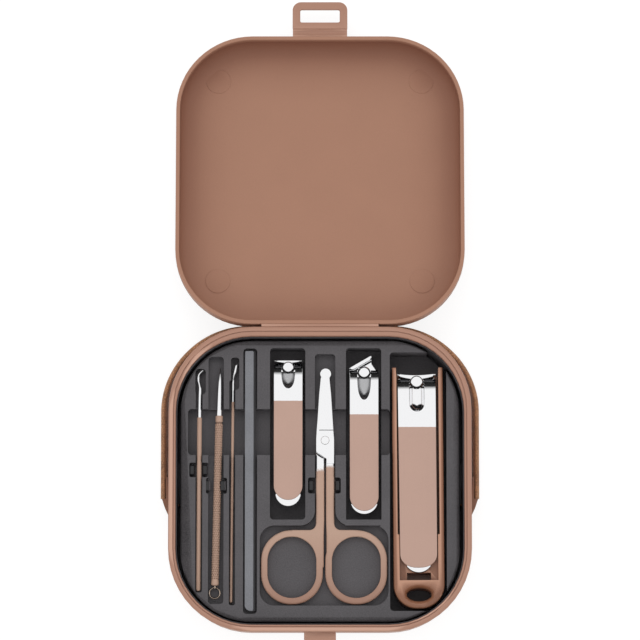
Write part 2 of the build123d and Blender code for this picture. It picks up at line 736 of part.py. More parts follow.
def make_half(side):
    """One half of the scissors; side +1 has the upper blade and the right-hand ring."""
    upper = side > 0
    z0 = sc_z + (sc_t + sc_gap if upper else 0.0)
    z1 = z0 + sc_t
    full0 = sc_z
    full1 = sc_z + 2 * sc_t + sc_gap
    tip = sc_x + sc_tip_set
    w = sc_blade_w / 2
    # blade on the far side of the pivot, crossing over to this half's shank
    tip_w = sc_blade_tip_w / 2 - 0.35
    blade = make_face(Polyline((tip - side * tip_w, sc_tip_y - 2.0), (tip + side * tip_w, sc_tip_y - 2.0),
                               (sc_x + side * w, sc_y + 1.5), (sc_x + side * w, sc_y - sc_waist),
                               (sc_x + side * sc_shank_gap / 2, sc_y - sc_waist),
                               (sc_x - side * w, sc_y - sc_cross),
                               (sc_x - side * w, sc_y + 1.5), close=True))
    half = Pos(0, 0, z0) * extrude(blade, z1 - z0)
    half += Pos(tip, sc_tip_y - sc_tip_r + 0.2, (z0 + z1) / 2) * Cylinder(sc_tip_r, sc_t)
    # shank and ring in one outline, with an easy corner between them
    ring_mid = ring_end_y + ring_out_l / 2
    plan = Pos(ring_x(side), ring_mid) * RectangleRounded(ring_out_w, ring_out_l, ring_out_w / 2 - 0.1)
    inner_x = sc_x + side * sc_shank_gap / 2
    outer_x = inner_x + side * sc_shank_w
    plan += make_face(Polyline((inner_x, ring_mid), (outer_x, ring_mid), (outer_x, sc_y - sc_cross - sc_fit),
                               (inner_x, shoulder_y(inner_x) - sc_fit), close=True))
    corner = plan.vertices().filter_by_position(Axis.X, outer_x - 0.01, outer_x + 0.01)
    corner = corner.sort_by(Axis.Y)[0]
    plan = fillet([corner], ring_corner_r)
    hoop = Pos(0, 0, full0) * extrude(plan, full1 - full0)
    hoop = fillet(top_edges(hoop), ring_edge_r)
    hole_w = ring_out_w - 2 * ring_band
    hoop -= Pos(ring_x(side), ring_mid, full0 - 1) * extrude(
        RectangleRounded(hole_w, ring_out_l - 2 * ring_band, hole_w / 2 - 0.1), full1 - full0 + 2)
    half += hoop
    half -= Pos(sc_x, sc_y, sc_z) * Cylinder(rivet_r * 0.7 + rivet_fit, 6 * (full1 - full0))
    return half


def make_sc_rivet():
    z0 = sc_z - 0.1
    z1 = sc_z + 2 * sc_t + sc_gap
    shank = Pos(sc_x, sc_y, (z0 + z1) / 2) * Cylinder(rivet_r * 0.7, z1 - z0)
    head = Pos(sc_x, sc_y, z1 + 0.05 + 0.15) * Cylinder(rivet_r, 0.3)
    foot = Pos(sc_x, sc_y, z0 - 0.1) * Cylinder(rivet_r, 0.2)
    return shank + head + foot + Pos(sc_x, sc_y, z1) * Cylinder(rivet_r * 0.7, 0.2)


# ================================================================ tray


def pocket_list():
    """Every recess as (sketch, floor height, open through the tray's skirt)."""
    out = []

    def rect(x0, x1, y0, y1, floor, r=pocket_r, through=False):
        r = min(r, (x1 - x0) / 2 - 0.05, (y1 - y0) / 2 - 0.05)
        sketch = Pos((x0 + x1) / 2, (y0 + y1) / 2) * RectangleRounded(x1 - x0, y1 - y0, r)
        out.append((sketch, floor, through))

    ear_floor = slim_z - ear_d - under_gap
    needle_floor = slim_z - needle_d - under_gap
    pusher_floor = slim_z - pusher_blade_w - under_gap
    side = ear_d / 2 + slim_gap
    rect(ear_x - 1.75, ear_x + 2.55, ear_top - 10, ear_top + 0.6, ear_floor - 1.1, 1.6)
    rect(ear_x - side - 0.3, ear_x + side, ear_bottom - 0.6, ear_top - 8, ear_floor, 0.8)
    rect(needle_x - needle_d / 2 - needle_pocket_left, needle_x + needle_d / 2 + needle_pocket_right,
         needle_bottom - 2 * loop_r - 2.9, needle_top + needle_pocket_front, needle_floor)
    side = pusher_d / 2 + slim_gap
    rect(pusher_x - side - 0.5, pusher_x + side, pusher_bottom - 1.2, pusher_bend, pusher_floor, 0.9)
    rect(pusher_x - side + 0.2, pusher_x + pusher_offset + 1.3, pusher_bend - 4, pusher_top + 2.2,
         pusher_floor, 1.3)
    rect(file_x - file_w / 2 - 0.6, file_x + file_w / 2 + 0.6, file_bottom - 1.2, file_top + 0.9,
         file_z - 0.3)
    for c, front in ((straight, straight_pocket_front), (slanted, slanted_pocket_front)):
        end = c.y - c.post - c.lever_len
        rect(c.x - c.width / 2 - pocket_side, c.x + c.width / 2 + pocket_side - 0.4,
             end - clipper_pocket_tail, c.y + c.rise + front, c.z - 0.9)
    # the large clipper's pocket breaks through the skirt at the tray's corners
    rect(large_x - catcher_w / 2 - catcher_pocket_side, large_x + catcher_w / 2 + catcher_pocket_wall,
         catcher_end_y - catcher_pocket_side, catcher_top_y + catcher_pocket_front,
         catcher_z - 0.3, through=True)
    slot_half = sc_blade_w / 2 + snug_gap
    rect(sc_x - slot_half, sc_x + slot_half, ring_top_y - 2, sc_tip_y + scissors_pocket_front, sc_z - 0.35)
    # the rings' pocket flows into the slot above it
    pocket_top = ring_top_y + ring_pocket_gap
    w = 2 * ring_out_w + ring_gap + 2 * snug_gap
    l = pocket_top - ring_end_y + snug_gap
    rings = Pos((ring_left + ring_right) / 2, pocket_top - l / 2) * RectangleRounded(w, l, ring_pocket_r)
    rings += Pos(sc_x, pocket_top) * Rectangle(2 * slot_half, 4 * ring_pocket_r)
    necks = rings.vertices().filter_by_position(Axis.Y, pocket_top - 0.01, pocket_top + 0.01)
    necks = [v for v in necks if abs(abs(v.X - sc_x) - slot_half) < 0.01]
    out.append((fillet(necks, ring_pocket_r), sc_z - 0.35, False))
    # finger trough across the slim tools, the small clippers and the scissors
    rect(ear_x - 4.7, large_x - catcher_w / 2 - 1.0, trough_y - trough_w / 2, trough_y + trough_w / 2,
         tray_z - trough_d)
    for x, y, w, l, core in snap_places():
        rect(x - w / 2, x + w / 2, y - l / 2, y + l / 2, needle_floor, 0.8)
    return out


def snap_places():
    """Snap-in places of ear pick, needle tool and scissors: centre, size, width kept free for the tool."""
    ear_core = ear_d + 2 * slim_gap + 0.4
    needle_core = needle_d + 2 * slim_gap + 0.6
    scissors_core = 2 * sc_shank_w + sc_shank_gap + 2 * snug_gap
    return [(ear_x - 0.2, 3.9, ear_core + 4.9, snap_short, ear_core),
            (needle_x - 1.0, -2.6, needle_core + 4.4, snap_long, needle_core),
            (sc_x - 0.3, -2.5, scissors_core + 4.9, snap_long, scissors_core)]


def make_tray():
    bottom = base_floor + 0.2
    w = inner_w - 2 * tray_gap
    l = inner_l - 2 * tray_back_gap
    r = inner_r - tray_gap
    deck = slab(w, l, r, tray_z - tray_t, tray_z, y=inner_y)
    deck = fillet(top_edges(deck), tray_edge_r)
    skirt = slab(w, l, r, bottom, tray_z - tray_t / 2, y=inner_y)
    skirt -= slab(w - 2 * tray_t, l - 2 * tray_t, r - tray_t, bottom - 1, tray_z, y=inner_y)
    inside = slab(w - 2 * skirt_min, l - 2 * skirt_min, r - skirt_min, bottom - 5, tray_z + 5, y=inner_y)
    tray = deck + skirt
    pockets = pocket_list()
    for sketch, floor, through in pockets:
        walls = extrude(offset(sketch, tray_t), tray_z - tray_t / 2 - floor + tray_t)
        tub = Pos(0, 0, floor - tray_t) * walls
        tray += tub & slab(w, l, r, floor - tray_t, tray_z - tray_t / 2, y=inner_y)
    for sketch, floor, through in pockets:
        recess = Pos(0, 0, floor) * extrude(sketch, tray_z - floor + 1)
        tray -= recess if through else recess & inside
    for x, y, place_w, place_l, core in snap_places():
        finger = (place_w - core) / 4
        for side in (-1, 1):
            bump = slab(finger * 1.3, place_l * 0.6, finger * 0.6, slim_z - needle_d - 0.8, tray_z - clip_h,
                        x + side * (core / 2 + finger), y)
            tray += fillet(top_edges(bump), finger * 0.35)
    return tray


# ================================================================ assembly

parts["base_shell"] = make_base()
parts["tray_insert"] = make_tray()
parts["hinge_web"] = make_hinge_web()
parts["lid_shell"] = make_lid()
parts["hasp_web"] = make_hasp_web()
parts["hasp"] = make_hasp()
parts["strap_band"] = make_strap()
parts["strap_end_left"] = make_strap_end(-1)
parts["strap_end_right"] = make_strap_end(1)
parts["ear_pick_handle"] = make_ear_handle()
parts["ear_pick_spoon"] = make_ear_spoon()
parts["needle_tool_handle"] = make_needle_handle()
parts["needle_tool_tip"] = make_needle_tip()
parts["needle_tool_loop"] = make_needle_loop()
parts["cuticle_pusher_handle"] = make_pusher_handle()
parts["cuticle_pusher_blade"] = make_pusher_blade()
file_core_z = file_z + file_face_t
parts["file_core"] = file_slab(file_core_z, file_core_z + file_core_t)
parts["file_face_lower"] = file_slab(file_z, file_core_z)
parts["file_face_upper"] = file_slab(file_core_z + file_core_t, file_core_z + file_core_t + file_face_t)
for name, c, slot_len, straight_slot in (("straight_clipper", straight, small_slot, False),
                                         ("slanted_clipper", slanted, slanted_slot, False),
                                         ("large_clipper", large, large_slot, True)):
    parts[name + "_lower_leaf"] = c.leaf(False)
    parts[name + "_upper_leaf"] = c.leaf(True)
    parts[name + "_rivet"] = c.rivet()
    parts[name + "_post"] = c.post_piece()
    parts[name + "_pin"] = c.pin()
    parts[name + "_lever"] = c.lever(slot_len, straight_slot)
parts["large_clipper_catcher"] = make_catcher()
parts["scissors_half_left"] = make_half(-1)
parts["scissors_half_right"] = make_half(1)
parts["scissors_rivet"] = make_sc_rivet()

os.makedirs("parts", exist_ok=True)
for name, solid in parts.items():
    export_step(solid, "parts/" + name + ".step")
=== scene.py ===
from math import cos, hypot, pi, radians, sin, sqrt, tan

import bmesh
import bpy
from mathutils import Matrix, Vector


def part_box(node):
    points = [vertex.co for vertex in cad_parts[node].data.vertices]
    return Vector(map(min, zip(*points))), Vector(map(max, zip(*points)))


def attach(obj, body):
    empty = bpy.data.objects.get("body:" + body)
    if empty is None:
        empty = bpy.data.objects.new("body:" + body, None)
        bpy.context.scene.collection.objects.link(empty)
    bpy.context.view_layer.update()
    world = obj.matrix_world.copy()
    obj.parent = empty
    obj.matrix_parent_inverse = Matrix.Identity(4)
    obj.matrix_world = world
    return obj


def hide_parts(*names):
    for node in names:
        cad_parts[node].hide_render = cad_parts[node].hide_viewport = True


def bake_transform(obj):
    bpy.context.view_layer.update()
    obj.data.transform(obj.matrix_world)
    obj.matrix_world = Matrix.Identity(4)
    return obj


# Manicure case, open, with its tools in their tray.
# Sizes are in millimetres and become metres when a mesh is made.
MM = 0.001

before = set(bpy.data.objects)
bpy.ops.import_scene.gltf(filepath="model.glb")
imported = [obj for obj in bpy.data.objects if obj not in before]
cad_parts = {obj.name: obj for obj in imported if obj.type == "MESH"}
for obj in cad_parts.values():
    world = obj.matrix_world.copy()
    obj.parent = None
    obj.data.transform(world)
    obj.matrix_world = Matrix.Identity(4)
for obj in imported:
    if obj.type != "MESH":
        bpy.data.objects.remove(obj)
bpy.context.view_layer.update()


# ======== sizes

class Span:
    """Limits of a CAD node at rest, in millimetres."""

    def __init__(self, node):
        low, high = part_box(node)
        self.x0, self.y0, self.z0 = (value / MM for value in low)
        self.x1, self.y1, self.z1 = (value / MM for value in high)
        self.x = (self.x0 + self.x1) / 2
        self.y = (self.y0 + self.y1) / 2
        self.z = (self.z0 + self.z1) / 2
        self.w = self.x1 - self.x0


base = Span("base_shell")
base_w = base.w
base_l = 2 * base.y1
base_r = 34.0
base_h = base.z1
base_wall = 0.8           # wall stands in from the flange
base_floor = 1.8
foot_r = 4.0
flange_t = 2.2
groove_in = 1.8
groove_w = 0.4
well_front = 2.9          # rim width at the front, sides and back
well_side = 3.0
well_back = 4.0
bead_r = 0.45

lid_drop = 5.67           # degrees
lid_w = base_w - 4.8
lid_l = base_l - 2.4
lid_r = base_r - 2.4
lid_h = 12.0
lid_wall = 1.6
lid_floor = 1.5
lid_edge_r = 7.0
rim_r = 0.4
disc_r = 4.75
disc_h = 0.22
disc_x = 41.7
disc_y = 42.0
web = Span("hinge_web")
web_w = 1.2
hinge_y = base.y1 + web_w / 2
hinge_z = base_h + 0.1
lid_near_y = hinge_y + web_w / 2
lid_mid_y = lid_near_y + lid_l / 2
lid_far_y = lid_near_y + lid_l

hasp_w = 22.8
hasp_t = 1.4
hasp_len = 14.8
hasp_root = 3.2
hasp_r = 3.5
window_w = 16.4
window_h = 5.5
window_in = 6.0

strap = Span("strap_band")
tray = Span("tray_insert")


# ======== mesh helpers

def put(thing, **settings):
    """Set attributes of a thing."""
    for key, value in settings.items():
        setattr(thing, key, value)
    return thing


def link(obj):
    bpy.context.scene.collection.objects.link(obj)
    return obj


def shaded(mesh, angle=32):
    """Smooth shading that breaks at edges sharper than the angle."""
    mesh.polygons.foreach_set("use_smooth", [True] * len(mesh.polygons))
    mesh.set_sharp_from_angle(angle=radians(angle))
    mesh.update()
    return mesh


def mesh_object(name, points, faces, angle=32):
    """Object from points in millimetres, with its doubles merged."""
    mesh = bpy.data.meshes.new(name)
    mesh.from_pydata([Vector(p) * MM for p in points], [], faces)
    bm = bmesh.new()
    bm.from_mesh(mesh)
    bmesh.ops.remove_doubles(bm, verts=bm.verts, dist=1e-7)
    bmesh.ops.recalc_face_normals(bm, faces=bm.faces)
    bm.to_mesh(mesh)
    bm.free()
    return link(bpy.data.objects.new(name, shaded(mesh, angle)))


def skin(name, rings, angle=32, loop=False, first_cap=True):
    """Skin between rings that have the same number of points; the ends are capped unless it loops."""
    n = len(rings[0])
    points = [p for ring in rings for p in ring]
    faces = []
    for k in range(len(rings) if loop else len(rings) - 1):
        a, b = k * n, (k + 1) % len(rings) * n
        faces += [(a + i, a + (i + 1) % n, b + (i + 1) % n, b + i) for i in range(n)]
    if first_cap and not loop:
        faces.append(tuple(range(n))[::-1])
    if not loop:
        faces.append(tuple(range(len(points) - n, len(points))))
    return mesh_object(name, points, faces, angle)


def rounded(w, l, r, x=0.0, y=0.0, steps=12):
    """Rounded rectangle as (x, y) points, counter-clockwise."""
    points = []
    for quarter, (sx, sy) in enumerate(((1, 1), (-1, 1), (-1, -1), (1, -1))):
        for k in range(steps + 1):
            a = radians(90 * (quarter + k / steps))
            points.append((x + sx * (w / 2 - r) + r * cos(a), y + sy * (l / 2 - r) + r * sin(a)))
    return points


def lifted(outline, z):
    return [(x, y, z) for x, y in outline]


def arc(r, start, end, steps=6, x=0.0, y=0.0):
    """Points of an arc about a centre, between two angles in degrees."""
    for k in range(steps + 1):
        a = radians(start + (end - start) * k / steps)
        yield x + r * cos(a), y + r * sin(a)


def circle(count):
    """Angles set evenly round a circle."""
    return [2 * pi * k / count for k in range(count)]


def final(obj, angle=32):
    """Turn an object with its modifiers into a plain mesh object; no angle keeps its own normals."""
    graph = bpy.context.evaluated_depsgraph_get()
    mesh = bpy.data.meshes.new_from_object(obj.evaluated_get(graph))
    name = obj.name
    mesh.transform(obj.matrix_world)
    bpy.data.objects.remove(obj)
    mesh.name = name
    if angle is not None:
        shaded(mesh, angle)
    return link(bpy.data.objects.new(name, mesh))


def soften(obj, width, segments=3, angle=35, harden=False):
    """Round the sharp edges of a piece; its flats keep their flat shading."""
    shaded(obj.data, 30)
    put(obj.modifiers.new("round", "BEVEL"), width=width * MM, segments=segments, limit_method="ANGLE",
        angle_limit=radians(angle), use_clamp_overlap=True, harden_normals=harden)
    if not harden:
        put(obj.modifiers.new("flats", "WEIGHTED_NORMAL"), weight=90, keep_sharp=False)
    return final(obj, None)


def even_flats(obj):
    """Level faces take their own normal, so that their shading stays even."""
    mesh = obj.data
    normals = [Vector(corner.vector) for corner in mesh.corner_normals]
    for polygon in mesh.polygons:
        if abs(polygon.normal.z) > 0.99:
            for corner in polygon.loop_indices:
                normals[corner] = Vector((0, 0, 1 if polygon.normal.z > 0 else -1))
    mesh.normals_split_custom_set(normals)
    return obj


def carve(obj, cutter, operation="DIFFERENCE", angle=32):
    """Boolean with a second object, which is used up."""
    put(obj.modifiers.new("cut", "BOOLEAN"), operation=operation, solver="EXACT", object=cutter)
    bpy.context.view_layer.update()
    result = final(obj, angle)
    bpy.data.objects.remove(cutter)
    return result


def block(name, x0, x1, y0, y1, z0, z1):
    return skin(name, [lifted([(x1, y1), (x0, y1), (x0, y0), (x1, y0)], z) for z in (z0, z1)])


def prism(name, outline, z0, z1, angle=32):
    """Upright prism from a plan outline."""
    return skin(name, [lifted(outline, z0), lifted(outline, z1)], angle)


def side_plate(name, profile, *places, angle=32):
    """Side outline of (y, z) points drawn across X, through its places there."""
    return skin(name, [[(x, y, z) for y, z in profile] for x in places], angle)


def turned(name, stations, x, y, sides=28, upright=True, angle=32):
    """Turned piece from (place, radius) stations, upright or along Y."""
    rings = [[(x + r * cos(a), y + r * sin(a), place) for a in circle(sides)] for place, r in stations]
    if not upright:
        rings = [[(across, place, up) for across, up, place in ring] for ring in rings]
    return skin(name, rings, angle)


def turn(obj, degrees, axis, centre):
    """Turn a piece about a point in millimetres, in its mesh."""
    centre = Vector(centre) * MM
    spin = Matrix.Rotation(radians(degrees), 4, axis)
    obj.data.transform(Matrix.Translation(centre) @ spin @ Matrix.Translation(-centre))
    return obj


def moved(obj, x, y, z):
    """Shift a piece by millimetres, in its mesh."""
    obj.data.transform(Matrix.Translation(Vector((x, y, z)) * MM))
    return obj


def merged(obj):
    """Join the triangles of each flat into one clean face."""
    bm = bmesh.new()
    bm.from_mesh(obj.data)
    bmesh.ops.remove_doubles(bm, verts=bm.verts, dist=2e-6)
    bmesh.ops.dissolve_limit(bm, angle_limit=radians(0.6), verts=bm.verts, edges=bm.edges)
    bm.to_mesh(obj.data)
    bm.free()
    return obj


def copy_of(node, name):
    """Plain copy of a CAD node with clean faces and no material."""
    obj = link(bpy.data.objects.new(name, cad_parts[node].data.copy()))
    obj.data.materials.clear()
    return merged(obj)


def path_curve(name, kind, places):
    """Curve through places in millimetres, and its spline."""
    curve = bpy.data.curves.new(name, "CURVE")
    curve.dimensions = "3D"
    spline = curve.splines.new(kind)
    spline.points.add(len(places) - 1)
    for point, place in zip(spline.points, places):
        point.co = (*(v * MM for v in place), 1.0)
    return curve, spline


def wire(name, places, radii, thickness):
    """Round wire along a smooth curve through control points."""
    curve, spline = path_curve(name, "NURBS", places)
    put(curve, bevel_depth=thickness * MM, bevel_resolution=5, resolution_u=8, use_fill_caps=True)
    spline.points.foreach_set("radius", radii)
    put(spline, order_u=3, use_endpoint_u=True)
    return final(link(bpy.data.objects.new(name, curve)), 60)


# ======== node helpers

VECTOR, NUMBER, COUNT, GEOMETRY = ("NodeSocket" + kind for kind in ("Vector", "Float", "Int", "Geometry"))
WHITE = (1, 1, 1, 1)


class Wires:
    """Short hand for building a node tree."""

    def __init__(self, tree):
        self.tree = tree

    def add(self, kind, inputs=(), **settings):
        """New node with its settings; inputs stand in order, or in a dictionary by name or place."""
        node = put(self.tree.nodes.new(kind), **settings)
        for key, value in inputs.items() if isinstance(inputs, dict) else enumerate(inputs):
            self.feed(node, key, value)
        return node

    def out(self, kind, outlet=0, **settings):
        """One output of a new node."""
        return self.add(kind, **settings).outputs[outlet]

    def feed(self, node, key, value):
        """Give a socket a number, or join it to another node's socket."""
        socket = node.inputs[key]
        if isinstance(value, bpy.types.NodeSocket):
            self.tree.links.new(value, socket)
        else:
            socket.default_value = value

    def feed_all(self, node, values):
        """Feed sockets whose names are written with underscores."""
        for key, value in values.items():
            self.feed(node, key.replace("_", " "), value)

    def give(self, sink, **values):
        """Join sockets to the group's own outputs."""
        for key, value in values.items():
            self.tree.links.new(value, sink[key])
        return self.tree

    def math(self, operation, *values, clamp=False):
        return self.out("ShaderNodeMath", operation=operation, use_clamp=clamp, inputs=values)

    def vector(self, operation, outlet, *values):
        return self.out("ShaderNodeVectorMath", outlet, operation=operation, inputs=values)

    def ramp(self, value, low, high, out_low=0.0, out_high=1.0):
        return self.out("ShaderNodeMapRange", inputs=(value, low, high, out_low, out_high))

    def mix(self, factor, a, b, blend="MIX"):
        return self.out("ShaderNodeMix", 2, data_type="RGBA", blend_type=blend, inputs={0: factor, 6: a, 7: b})

    def noise(self, vector, scale, detail=2.0, roughness=0.5, outlet="Fac"):
        return self.out("ShaderNodeTexNoise", outlet, inputs={
            "Vector": vector, "Scale": scale, "Detail": detail, "Roughness": roughness})


def node_group(kind, name, inputs, outputs, outlet=NUMBER):
    """Wires, source, sink and input identifiers of an empty group.

    An input is written with its first value, or with its socket type where it has none.
    """
    tree = bpy.data.node_groups.new(name, kind)
    ids = {}
    for title, value in inputs.items():
        bare = isinstance(value, str)
        number = COUNT if isinstance(value, int) else NUMBER
        socket = tree.interface.new_socket(title, in_out="INPUT", socket_type=value if bare else number)
        ids[title] = socket.identifier
        if not bare:
            socket.default_value = value
    for title in outputs:
        tree.interface.new_socket(title, in_out="OUTPUT", socket_type=outlet)
    source, sink = tree.nodes.new("NodeGroupInput"), tree.nodes.new("NodeGroupOutput")
    return Wires(tree), source.outputs, sink.inputs, ids


def shader_group(name, inputs, *outputs):
    return node_group("ShaderNodeTree", name, inputs, outputs)[:3]


def make_moulded_grain():
    """Fine spark-eroded texture of a moulded surface: a height and a tone near 1."""
    w, source, sink = shader_group(
        "Moulded grain", {"Vector": VECTOR, "Size": 0.4, "Contrast": 0.05}, "Height", "Tone")
    fine = w.noise(source["Vector"], w.math("DIVIDE", 1000.0, source["Size"]), 1.0, 0.6)
    broad = w.noise(source["Vector"], 60.0, 3.0, 0.55)
    both = w.math("ADD", w.ramp(fine, 0.3, 0.7, -1.0, 1.0), w.ramp(broad, 0.35, 0.65, -0.4, 0.4))
    return w.give(sink, Height=fine, Tone=w.math("MULTIPLY_ADD", both, source["Contrast"], 1.0))


def make_leather_grain():
    """Pebbled hide: cells with soft creases between them."""
    w, source, sink = shader_group(
        "Leather grain", {"Vector": VECTOR, "Size": 0.8, "Contrast": 0.2}, "Height", "Tone")
    wobble = w.noise(source["Vector"], 900.0, outlet="Color")
    drift = w.out("ShaderNodeVectorMath", operation="SCALE", inputs={0: wobble, "Scale": 0.0004})
    place = w.vector("ADD", 0, source["Vector"], drift)
    cells = w.out("ShaderNodeTexVoronoi", "Distance", feature="DISTANCE_TO_EDGE", inputs={
        "Vector": place, "Scale": w.math("DIVIDE", 1000.0, source["Size"])})
    crease = w.ramp(cells, 0.0, 0.22)
    cloud = w.noise(source["Vector"], 240.0, 3.0, 0.6)
    tone = w.math("ADD", w.ramp(crease, 0.0, 1.0, -1.0, 0.5), w.ramp(cloud, 0.3, 0.7, -0.8, 0.8))
    return w.give(sink, Height=crease, Tone=w.math("MULTIPLY_ADD", tone, source["Contrast"], 1.0))


def make_edge_highlight_and_wear():
    """Mask of the convex edges: lightened on the strap's leather, and a painted highlight on the moulded
    plastics.
    """
    w, source, sink = shader_group("Edge highlight and wear", {"Start": 0.52, "End": 0.62, "Amount": 0.3}, "Mask")
    mask = w.ramp(w.out("ShaderNodeNewGeometry", "Pointiness"), source["Start"], source["End"])
    return w.give(sink, Mask=w.math("MULTIPLY", mask, source["Amount"], clamp=True))


def make_paint_area():
    """1 where a piece is painted: behind a straight front line, which can be sharp or sprayed soft."""
    w, source, sink = shader_group("Paint area", {"Vector": VECTOR, "Front Y": 0.0, "Edge": 0.0001}, "Mask")
    along = w.out("ShaderNodeSeparateXYZ", "Y", inputs=(source["Vector"],))
    drift = w.ramp(w.noise(source["Vector"], 900.0, 3.0, 0.6), 0.2, 0.8, -0.5, 0.5)
    behind = w.math("DIVIDE", w.math("SUBTRACT", source["Front Y"], along), source["Edge"])
    return w.give(sink, Mask=w.ramp(w.math("ADD", behind, drift), -0.5, 0.5))


def make_polish_marks():
    """Very faint buffing marks on polished metal."""
    w, source, sink = shader_group(
        "Polish marks", {"Vector": VECTOR, "Rough": 0.05, "Spread": 0.03}, "Roughness", "Height")
    stretch = w.out("ShaderNodeMapping", inputs={"Vector": source["Vector"], "Scale": (3.0, 0.25, 3.0)})
    marks = w.noise(stretch, 900.0, 3.0, 0.6)
    rough = w.math("MULTIPLY_ADD", w.ramp(marks, 0.3, 0.7), source["Spread"], source["Rough"])
    return w.give(sink, Roughness=rough, Height=marks)


moulded_grain = make_moulded_grain()
leather_grain = make_leather_grain()
edge_highlight_and_wear = make_edge_highlight_and_wear()
paint_area = make_paint_area()
polish_marks = make_polish_marks()


# ======== materials

def shade(value):
    """Linear value of a colour written 0 to 255."""
    value /= 255
    return value / 12.92 if value <= 0.04045 else ((value + 0.055) / 1.055) ** 2.4


def colour(r, g, b):
    return (shade(r), shade(g), shade(b), 1.0)


def fresh_wires(owner):
    """Wires of a material or a world whose tree starts empty."""
    owner.use_nodes = True
    owner.node_tree.nodes.clear()
    return Wires(owner.node_tree)


class Finish:
    """A material with its Principled shader and object coordinates ready."""

    def __init__(self, name, **settings):
        self.material = bpy.data.materials.new(name)
        self.w = fresh_wires(self.material)
        self.shader = self.w.add("ShaderNodeBsdfPrincipled")
        self.w.add("ShaderNodeOutputMaterial", inputs=(self.shader.outputs[0],))
        self.drive(**settings)
        self.place = self.w.out("ShaderNodeTexCoord", "Object")

    def group(self, tree, **values):
        """Outputs of a shader group with its inputs fed."""
        node = self.w.add("ShaderNodeGroup", node_tree=tree)
        self.w.feed_all(node, values)
        return node.outputs

    def drive(self, **values):
        """Feed the Principled shader."""
        self.w.feed_all(self.shader, values)

    def bump(self, height, strength, distance):
        self.drive(Normal=self.w.out("ShaderNodeBump", inputs={
            "Height": height, "Strength": strength, "Distance": distance * MM}))

    def toned(self, tint, tone):
        """A colour multiplied by a tone near 1."""
        return self.w.mix(1.0, tint, tone, "MULTIPLY")


def moulded(name, tint, grain, contrast, roughness, bump, edge=0.0, edge_tint=WHITE, gloss=0.5, deep=None):
    """Moulded plastic, finely eroded, with a painted highlight on its convex edges; it can take painted shade
    near walls.
    """
    f = Finish(name, Specular_IOR_Level=gloss)
    marks = f.group(moulded_grain, Vector=f.place, Size=grain, Contrast=contrast)
    body = f.toned(tint, marks["Tone"])
    # painted shade: near the lid's walls the colour turns to the deep tint, as the wall_shade attribute says
    if deep is not None:
        body = f.w.mix(f.w.out("ShaderNodeAttribute", "Fac", attribute_name="wall_shade"), body, deep)
    # painted highlight along the convex edges
    if edge:
        body = f.w.mix(f.group(edge_highlight_and_wear, Amount=edge)["Mask"], body, edge_tint)
    f.drive(Base_Color=body, Roughness=f.w.ramp(marks["Height"], 0.3, 0.7, roughness - 0.05, roughness + 0.05))
    f.bump(marks["Height"], bump, 0.03)
    return f.material


bright_metal = (0.93, 0.93, 0.94, 1.0)
# painted shade: dark metal in front of a clipper's knuckle
knuckle_shade_metal = (0.05, 0.05, 0.055, 1.0)


def chrome(name, tint=bright_metal, rough=0.05):
    f = Finish(name, Metallic=1.0)
    marks = f.group(polish_marks, Vector=f.place, Rough=rough, Spread=0.03)
    f.drive(Base_Color=tint, Roughness=marks["Roughness"])
    f.bump(marks["Height"], 0.02, 0.01)
    return f.material


def painted(name, tint, front_y=1000.0, edge=0.1, knuckle_y=None, fade=None):
    """Chromed metal, painted behind a line across it; in front of its knuckle the bare metal is painted dark
    as a painted shade, and the coat can fade to a painted shade along it.
    """
    f = Finish(name)
    mask = f.group(paint_area, Vector=f.place, Front_Y=front_y * MM, Edge=edge * MM)["Mask"]
    marks = f.group(moulded_grain, Vector=f.place, Size=0.35, Contrast=0.03)
    bare = f.group(polish_marks, Vector=f.place, Rough=0.05, Spread=0.03)
    coat = f.toned(tint, marks["Tone"])
    # painted shade: the coat deepens towards its low end along Y
    if fade is not None:
        low, high, deep = fade
        along = f.w.out("ShaderNodeSeparateXYZ", "Y", inputs=(f.place,))
        coat = f.w.mix(f.w.ramp(along, low * MM, high * MM, 0.9, 0.0), coat, deep)
    metal = bright_metal
    # painted shade: the bare metal turns dark in front of the knuckle
    if knuckle_y is not None:
        roll = f.group(paint_area, Vector=f.place, Front_Y=knuckle_y * MM, Edge=0.7 * MM)["Mask"]
        metal = f.w.mix(roll, knuckle_shade_metal, metal)
    f.drive(Base_Color=f.w.mix(mask, metal, coat),
            Metallic=f.w.ramp(mask, 0.0, 1.0, 1.0, 0.0),
            Roughness=f.w.out("ShaderNodeMix", inputs={0: mask, 2: bare["Roughness"], 3: 0.42}))
    f.bump(marks["Height"], 0.05, 0.01)
    return f.material


def leather(name, tint, dark, rubbed):
    f = Finish(name, Sheen_Weight=0.15, Sheen_Roughness=0.5)
    grain = f.group(leather_grain, Vector=f.place, Size=0.75, Contrast=0.28)
    body = f.w.mix(f.w.ramp(grain["Height"], 0.0, 0.5, 0.45, 0.0), f.toned(tint, grain["Tone"]), dark)
    f.drive(Base_Color=f.w.mix(f.group(edge_highlight_and_wear, Amount=0.25)["Mask"], body, rubbed),
            Roughness=f.w.ramp(grain["Height"], 0.0, 1.0, 0.75, 0.5))
    f.bump(grain["Height"], 0.6, 0.08)
    return f.material


paint_tint = colour(189, 155, 140)
shank_tint = colour(186, 153, 134)
# painted shade of the scissors rings' lower halves
shank_shade_tint = colour(150, 108, 90)
handle_tint = colour(182, 150, 131)
# painted shade of the lid's floor beside its walls
lid_wall_shade_tint = colour(98, 40, 22)
